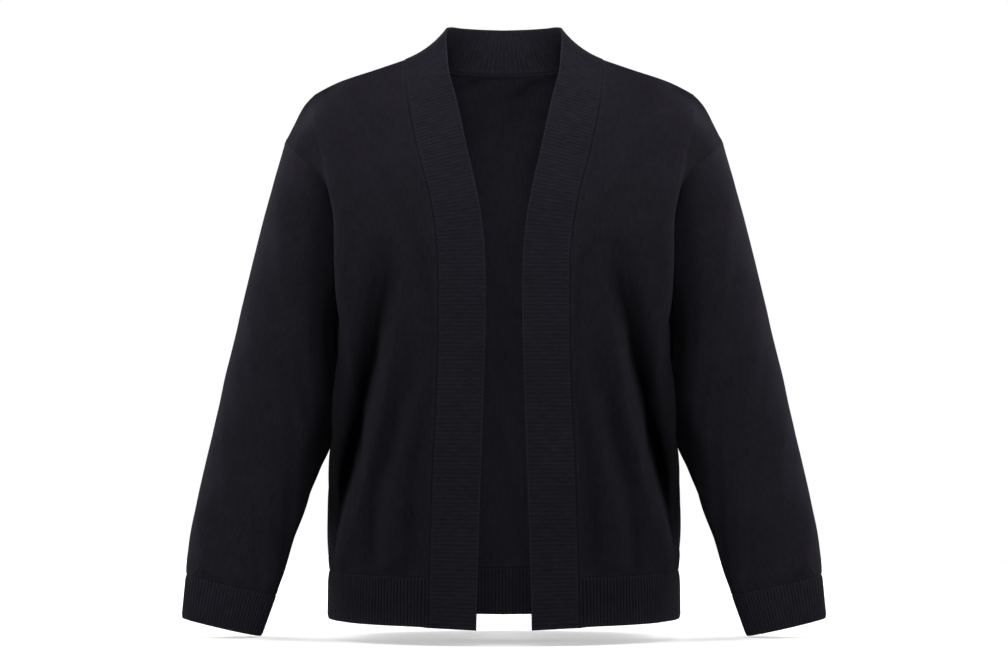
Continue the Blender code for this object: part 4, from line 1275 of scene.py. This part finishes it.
class CardiganKnitting(bpy.types.PropertyGroup):
    """Sizes of the knitting."""

    cloth_thick: FloatProperty(
        name="Cloth thickness", description="Thickness of the plain knit",
        default=2.0 * MM, min=0.5 * MM, max=6.0 * MM,
        precision=4, subtype="DISTANCE", unit="LENGTH",
    )
    rib_thick: FloatProperty(
        name="Rib thickness", description="Thickness of the ribbed knit in its grooves",
        default=1.8 * MM, min=0.5 * MM, max=6.0 * MM,
        precision=4, subtype="DISTANCE", unit="LENGTH",
    )
    rib_rise: FloatProperty(
        name="Rib height", description="How far a rib of the hem and cuffs stands out",
        default=0.9 * MM, min=0.0, max=3.0 * MM, precision=4, subtype="DISTANCE", unit="LENGTH",
    )
    band_rise: FloatProperty(
        name="Band rib height", description="How far a rib of the band stands out",
        default=0.22 * MM, min=0.0, max=3.0 * MM, precision=4, subtype="DISTANCE", unit="LENGTH",
    )
    hem_pitch: FloatProperty(
        name="Hem rib spacing", description="From rib to rib of the hem",
        default=3.9 * MM, min=1.0 * MM, max=12.0 * MM,
        precision=4, subtype="DISTANCE", unit="LENGTH",
    )
    cuff_pitch: FloatProperty(
        name="Cuff rib spacing", description="From rib to rib of the cuffs",
        default=3.5 * MM, min=1.0 * MM, max=12.0 * MM,
        precision=4, subtype="DISTANCE", unit="LENGTH",
    )
    band_pitch: FloatProperty(
        name="Band rib spacing", description="From rib to rib of the band",
        default=4.4 * MM, min=1.0 * MM, max=12.0 * MM,
        precision=4, subtype="DISTANCE", unit="LENGTH",
    )
    fullness: FloatProperty(
        name="Fullness", description="How far the cloth stands out above the cuffs",
        default=0.9 * MM, min=0.0, max=8.0 * MM, precision=4, subtype="DISTANCE", unit="LENGTH",
    )
    wale: FloatProperty(
        name="Stitch width", description="Width of one stitch of the plain knit",
        default=1.9 * MM, min=0.5 * MM, max=8.0 * MM,
        precision=4, subtype="DISTANCE", unit="LENGTH",
    )
    course: FloatProperty(
        name="Stitch height", description="Height of one stitch",
        default=1.4 * MM, min=0.5 * MM, max=8.0 * MM,
        precision=4, subtype="DISTANCE", unit="LENGTH",
    )
    stitch_depth: FloatProperty(
        name="Stitch depth", description="How deep the stitches look",
        default=0.35 * MM, min=0.0, max=2.0 * MM, precision=5, subtype="DISTANCE", unit="LENGTH",
    )
    stitch_strength: FloatProperty(
        name="Stitch strength", description="How strongly the stitches catch the light",
        default=0.5, min=0.0, max=1.0, subtype="FACTOR",
    )


class CardiganYarn(bpy.types.PropertyGroup):
    """Colours and finish of the yarn."""

    # The colour of the painted shade between the stitches and the ribs, and of the yarn's darker
    # mottle.
    deep: FloatVectorProperty(
        name="Deep colour", description="Colour between the stitches",
        default=tuple(part * share for part, share in zip(slot_colour("rib"), (0.52, 0.48, 0.5))),
        min=0.0, max=1.0, size=3, subtype="COLOR",
    )
    # The colour of the painted light on the plain knit's stitches, and of the yarn's lighter
    # mottle.
    light: FloatVectorProperty(
        name="Light colour", description="Colour on the stitches of the plain knit",
        default=tuple(
            part * share for part, share in zip(slot_colour("cloth"), (1.18, 1.12, 1.15))
        ),
        min=0.0, max=1.0, size=3, subtype="COLOR",
    )
    # The colour of the painted light on the ribs' tops and stitches, and of the yarn's lighter
    # mottle.
    rib_light: FloatVectorProperty(
        name="Rib colour", description="Colour on the ribs",
        default=tuple(part * share for part, share in zip(slot_colour("band"), (1.43, 1.36, 1.4))),
        min=0.0, max=1.0, size=3, subtype="COLOR",
    )
    gloss: FloatProperty(
        name="Gloss", description="How much the yarn shines",
        default=0.0, min=0.0, max=1.0, subtype="FACTOR",
    )
    sheen: FloatProperty(
        name="Halo", description="How much the loose fibres catch light at the outline",
        default=0.012, min=0.0, max=1.0, subtype="FACTOR",
    )
    sheen_spread: FloatProperty(
        name="Halo spread", description="How far the halo reaches from the outline",
        default=0.4, min=0.0, max=1.0, subtype="FACTOR",
    )
    sheen_tint: FloatVectorProperty(
        name="Halo colour", description="Colour of the loose fibres",
        default=(0.62, 0.62, 0.70), min=0.0, max=1.0, size=3, subtype="COLOR",
    )


class CardiganStudio(bpy.types.PropertyGroup):
    """The floor, the camera and the lights."""

    floor_level: FloatProperty(
        name="Floor level", description="Height of the floor",
        default=-0.6235, max=0.0, subtype="DISTANCE", unit="LENGTH",
    )
    floor_size: FloatProperty(
        name="Floor size", description="How far the floor reaches from the middle",
        default=1.6, min=0.5, max=20.0, subtype="DISTANCE", unit="LENGTH",
    )
    floor_colour: FloatVectorProperty(
        name="Floor colour", description="Colour of the paper",
        default=(0.86, 0.86, 0.86), min=0.0, max=1.0, size=3, subtype="COLOR",
    )
    camera_away: FloatProperty(
        name="Camera distance", description="How far the camera stands in front",
        default=4.5, min=1.0, max=20.0, subtype="DISTANCE", unit="LENGTH",
    )
    camera_level: FloatProperty(
        name="Camera level", description="Height of the camera",
        default=-0.299, subtype="DISTANCE", unit="LENGTH",
    )
    frame_width: FloatProperty(
        name="Frame width", description="Width of the picture at the garment",
        default=1.08864, min=0.1, max=10.0, subtype="DISTANCE", unit="LENGTH",
    )
    surround: FloatProperty(
        name="Surround light", description="Strength of the light from all round",
        default=0.08, min=0.0, max=5.0,
    )
    front: FloatProperty(
        name="Front light", description="Strength of the light from the camera's side",
        default=2.25, min=0.0, max=20.0,
    )
    top: FloatProperty(
        name="Top light", description="Power of the light from above",
        default=13.0, min=0.0, max=100.0, unit="POWER",
    )
    side: FloatProperty(
        name="Side lights", description="Power of the lights on the sleeves",
        default=2.0, min=0.0, max=100.0, unit="POWER",
    )
    edge: FloatProperty(
        name="Edge lights", description="Strength of the lights from each side and behind",
        default=6.8, min=0.0, max=20.0,
    )
    inside: FloatProperty(
        name="Inside light", description="Power of the light on the back's inner side",
        default=0.22, min=0.0, max=20.0, unit="POWER",
    )


# --- Operators --------------------------------------------------------------------------------

class CardiganPanels(bpy.types.Operator):
    """Knit the back and the two fronts"""

    bl_idname = "cardigan.panels"
    bl_label = "Back and fronts"

    def execute(self, context):
        knitting = context.scene.cardigan_knitting
        yarn = context.scene.cardigan_yarn
        material = knit_material("Plain_knit", yarn, knitting, knitting.wale)
        fronts = front_points()
        left = panel_net(fronts, FRONT_FOLDS_LEFT, FRONT_SHADE_LEFT, FRONT_SEAM_SHADE, LOW_PAINTED_SHADE)
        right = panel_net(fronts, FRONT_FOLDS_RIGHT, FRONT_SHADE_RIGHT, FRONT_SEAM_SHADE, LOW_PAINTED_SHADE)
        nets = {"back": back_net(), "front_left": left, "front_right": other_side(right)}
        for node, net in nets.items():
            # Painted light on the inner side along the panel's top seam.
            nape = np.exp(-((edge_distances(net)["top"] / NAPE_REACH) ** 2))
            piece = wall(
                node.capitalize() + "_panel", net, knitting.cloth_thick / MM, seam_relief(net),
                PLAIN_SEAM, within=NAPE_SHINE * nape, tuck=armhole_tuck(net.points),
            )
            dress(piece, node, material)
        return {"FINISHED"}


class CardiganSleeves(bpy.types.Operator):
    """Knit the two sleeves"""

    bl_idname = "cardigan.sleeves"
    bl_label = "Sleeves"

    def execute(self, context):
        knitting = context.scene.cardigan_knitting
        yarn = context.scene.cardigan_yarn
        material = knit_material("Sleeve_knit", yarn, knitting, knitting.wale)
        left = sleeve_net(knitting.fullness / MM)
        for node, net in (("sleeve_left", left), ("sleeve_right", other_side(left))):
            piece = wall(
                node.capitalize() + "_tube", net, knitting.cloth_thick / MM, seam_relief(net),
                PLAIN_SEAM, tuck=armhole_tuck(net.points),
            )
            dress(piece, node, material)
        return {"FINISHED"}


class CardiganHem(bpy.types.Operator):
    """Knit the hem's rib in its three pieces"""

    bl_idname = "cardigan.hem"
    bl_label = "Hem rib"

    def execute(self, context):
        knitting = context.scene.cardigan_knitting
        pitch = knitting.hem_pitch
        nets = {"hem_rib_back": hem_net(back_net().points[-1], pitch / MM)}
        left = hem_net(front_points()[-1], pitch / MM, np.array(BAND[-1][0:3]))
        nets.update(both_sides("hem_rib", *left))
        knit_ribs(context.scene, HEM_RIBBING, pitch, knitting.rib_rise, nets)
        return {"FINISHED"}


class CardiganCuffs(bpy.types.Operator):
    """Knit the two cuffs"""

    bl_idname = "cardigan.cuffs"
    bl_label = "Cuffs"

    def execute(self, context):
        knitting = context.scene.cardigan_knitting
        pitch = knitting.cuff_pitch
        nets = both_sides("cuff", *cuff_net(pitch / MM))
        knit_ribs(context.scene, CUFF_RIBBING, pitch, knitting.rib_rise, nets)
        return {"FINISHED"}


class CardiganBand(bpy.types.Operator):
    """Knit the two halves of the band round the neck and down the fronts"""

    bl_idname = "cardigan.band"
    bl_label = "Band"

    def execute(self, context):
        knitting = context.scene.cardigan_knitting
        pitch = knitting.band_pitch
        nets = both_sides("band", *band_net(pitch / MM))
        knit_ribs(context.scene, BAND_RIBBING, pitch, knitting.band_rise, nets, collar_painted_light)
        return {"FINISHED"}


class CardiganStage(bpy.types.Operator):
    """Set up the floor, the camera, the lights and the white surround"""

    bl_idname = "cardigan.stage"
    bl_label = "Stage"

    def execute(self, context):
        scene = context.scene
        studio = scene.cardigan_studio
        self.lay_floor(scene, studio)
        self.place_camera(scene, studio)
        for name, strength, spread, way in (
            ("Front_light", studio.front, 20.0, (0.0, -1.0, 0.12)),
            ("Edge_light_left", studio.edge, 50.0, (-0.84, 0.50, 0.24)),
            ("Edge_light_right", studio.edge, 50.0, (0.84, 0.50, 0.24)),
        ):
            self.hang_light(scene, name, strength, spread, Vector(way))
        for name, power, size, place, aim in (
            ("Top_light", studio.top, (1.2, 0.4), (0.0, -0.35, 0.9), (0.0, 0.0, 0.0)),
            ("Side_light_left", studio.side, (0.3, 0.3), (-1.0, -0.8, -0.45), (-0.3, 0.0, -0.45)),
            ("Side_light_right", studio.side, (0.3, 0.3), (1.0, -0.8, -0.45), (0.3, 0.0, -0.45)),
            ("Inside_light", studio.inside, (0.2, 0.46), (0.0, -0.06, -0.34), (0.0, 1.0, -0.34)),
        ):
            self.hang_panel(scene, name, power, size, Vector(place), Vector(aim))
        self.surround(scene, studio)
        scene.view_settings.view_transform = "Standard"
        return {"FINISHED"}

    def lay_floor(self, scene, studio):
        """A round sheet of paper under the garment, which throws no light up on it."""
        mesh = bpy.data.meshes.new("Paper")
        turns = np.arange(FLOOR_SIDES) * 2.0 * math.pi / FLOOR_SIDES
        rim = np.stack([np.cos(turns), np.sin(turns), np.zeros(FLOOR_SIDES)], axis=-1)
        mesh.from_pydata((rim * studio.floor_size).tolist(), [], [tuple(range(FLOOR_SIDES))])
        mesh.materials.append(paper_material("Studio_paper", studio.floor_colour))
        floor = bpy.data.objects.new("Floor", mesh)
        floor.location.z = studio.floor_level
        floor.visible_diffuse = False
        scene.collection.objects.link(floor)

    def place_camera(self, scene, studio):
        """A long lens, level, straight in front."""
        lens = bpy.data.cameras.new("Camera")
        lens.lens = lens.sensor_width * studio.camera_away / studio.frame_width
        camera = bpy.data.objects.new("Camera", lens)
        camera.location = (0.0, -studio.camera_away, studio.camera_level)
        camera.rotation_euler = (math.pi / 2.0, 0.0, 0.0)
        scene.collection.objects.link(camera)
        scene.camera = camera

    def hang_light(self, scene, name, strength, spread, way):
        """A wide soft light that shines from the given direction."""
        lamp = bpy.data.lights.new(name, "SUN")
        lamp.energy = strength
        lamp.angle = math.radians(spread)
        light = bpy.data.objects.new(name, lamp)
        light.rotation_euler = way.to_track_quat("Z", "Y").to_euler()
        scene.collection.objects.link(light)

    def hang_panel(self, scene, name, power, size, place, aim):
        """A panel of light that shines on a point, and that the camera doesn't see."""
        lamp = bpy.data.lights.new(name, "AREA")
        lamp.shape, lamp.size, lamp.size_y = "RECTANGLE", *size
        lamp.energy = power
        light = bpy.data.objects.new(name, lamp)
        light.location = place
        light.rotation_euler = (place - aim).to_track_quat("Z", "Y").to_euler()
        light.visible_camera = False
        scene.collection.objects.link(light)

    def surround(self, scene, studio):
        """White behind the garment, and a dimmer white that lights it from all round."""
        scene.world = bpy.data.worlds.new("Surround")
        surround = Nodes(scene.world)
        seen = surround.node("ShaderNodeLightPath", None, None, "Is Camera Ray")
        strengths = {"Value": seen, "To Min": studio.surround, "To Max": 1.0}
        strength = surround.node("ShaderNodeMapRange", None, strengths)
        surround.finish("Background", {"Color": WHITE, "Strength": strength})


OPERATORS = (
    CardiganPanels, CardiganSleeves, CardiganHem, CardiganCuffs, CardiganBand, CardiganStage,
)


class CardiganPanel(bpy.types.Panel):
    """Lists the cardigan's pieces, sizes and colours"""

    bl_idname = "VIEW3D_PT_cardigan"
    bl_label = "Cardigan"
    bl_space_type = "VIEW_3D"
    bl_region_type = "UI"
    bl_category = "Cardigan"

    def draw(self, context):
        layout = self.layout
        for operator in OPERATORS:
            layout.operator(operator.bl_idname)
        for title, group in (
            ("Knitting", context.scene.cardigan_knitting),
            ("Yarn", context.scene.cardigan_yarn),
            ("Studio", context.scene.cardigan_studio),
        ):
            box = layout.box()
            box.label(text=title)
            for name in group.__annotations__:
                box.prop(group, name)


CLASSES = (CardiganKnitting, CardiganYarn, CardiganStudio, *OPERATORS, CardiganPanel)


def register():
    for kind in CLASSES:
        bpy.utils.register_class(kind)
    bpy.types.Scene.cardigan_knitting = PointerProperty(type=CardiganKnitting)
    bpy.types.Scene.cardigan_yarn = PointerProperty(type=CardiganYarn)
    bpy.types.Scene.cardigan_studio = PointerProperty(type=CardiganStudio)


def unregister():
    del bpy.types.Scene.cardigan_studio
    del bpy.types.Scene.cardigan_yarn
    del bpy.types.Scene.cardigan_knitting
    for kind in reversed(CLASSES):
        bpy.utils.unregister_class(kind)


def main():
    register()
    bpy.ops.cardigan.panels()
    bpy.ops.cardigan.sleeves()
    bpy.ops.cardigan.hem()
    bpy.ops.cardigan.cuffs()
    bpy.ops.cardigan.band()
    bpy.ops.cardigan.stage()


if __name__ == "__main__":
    main()
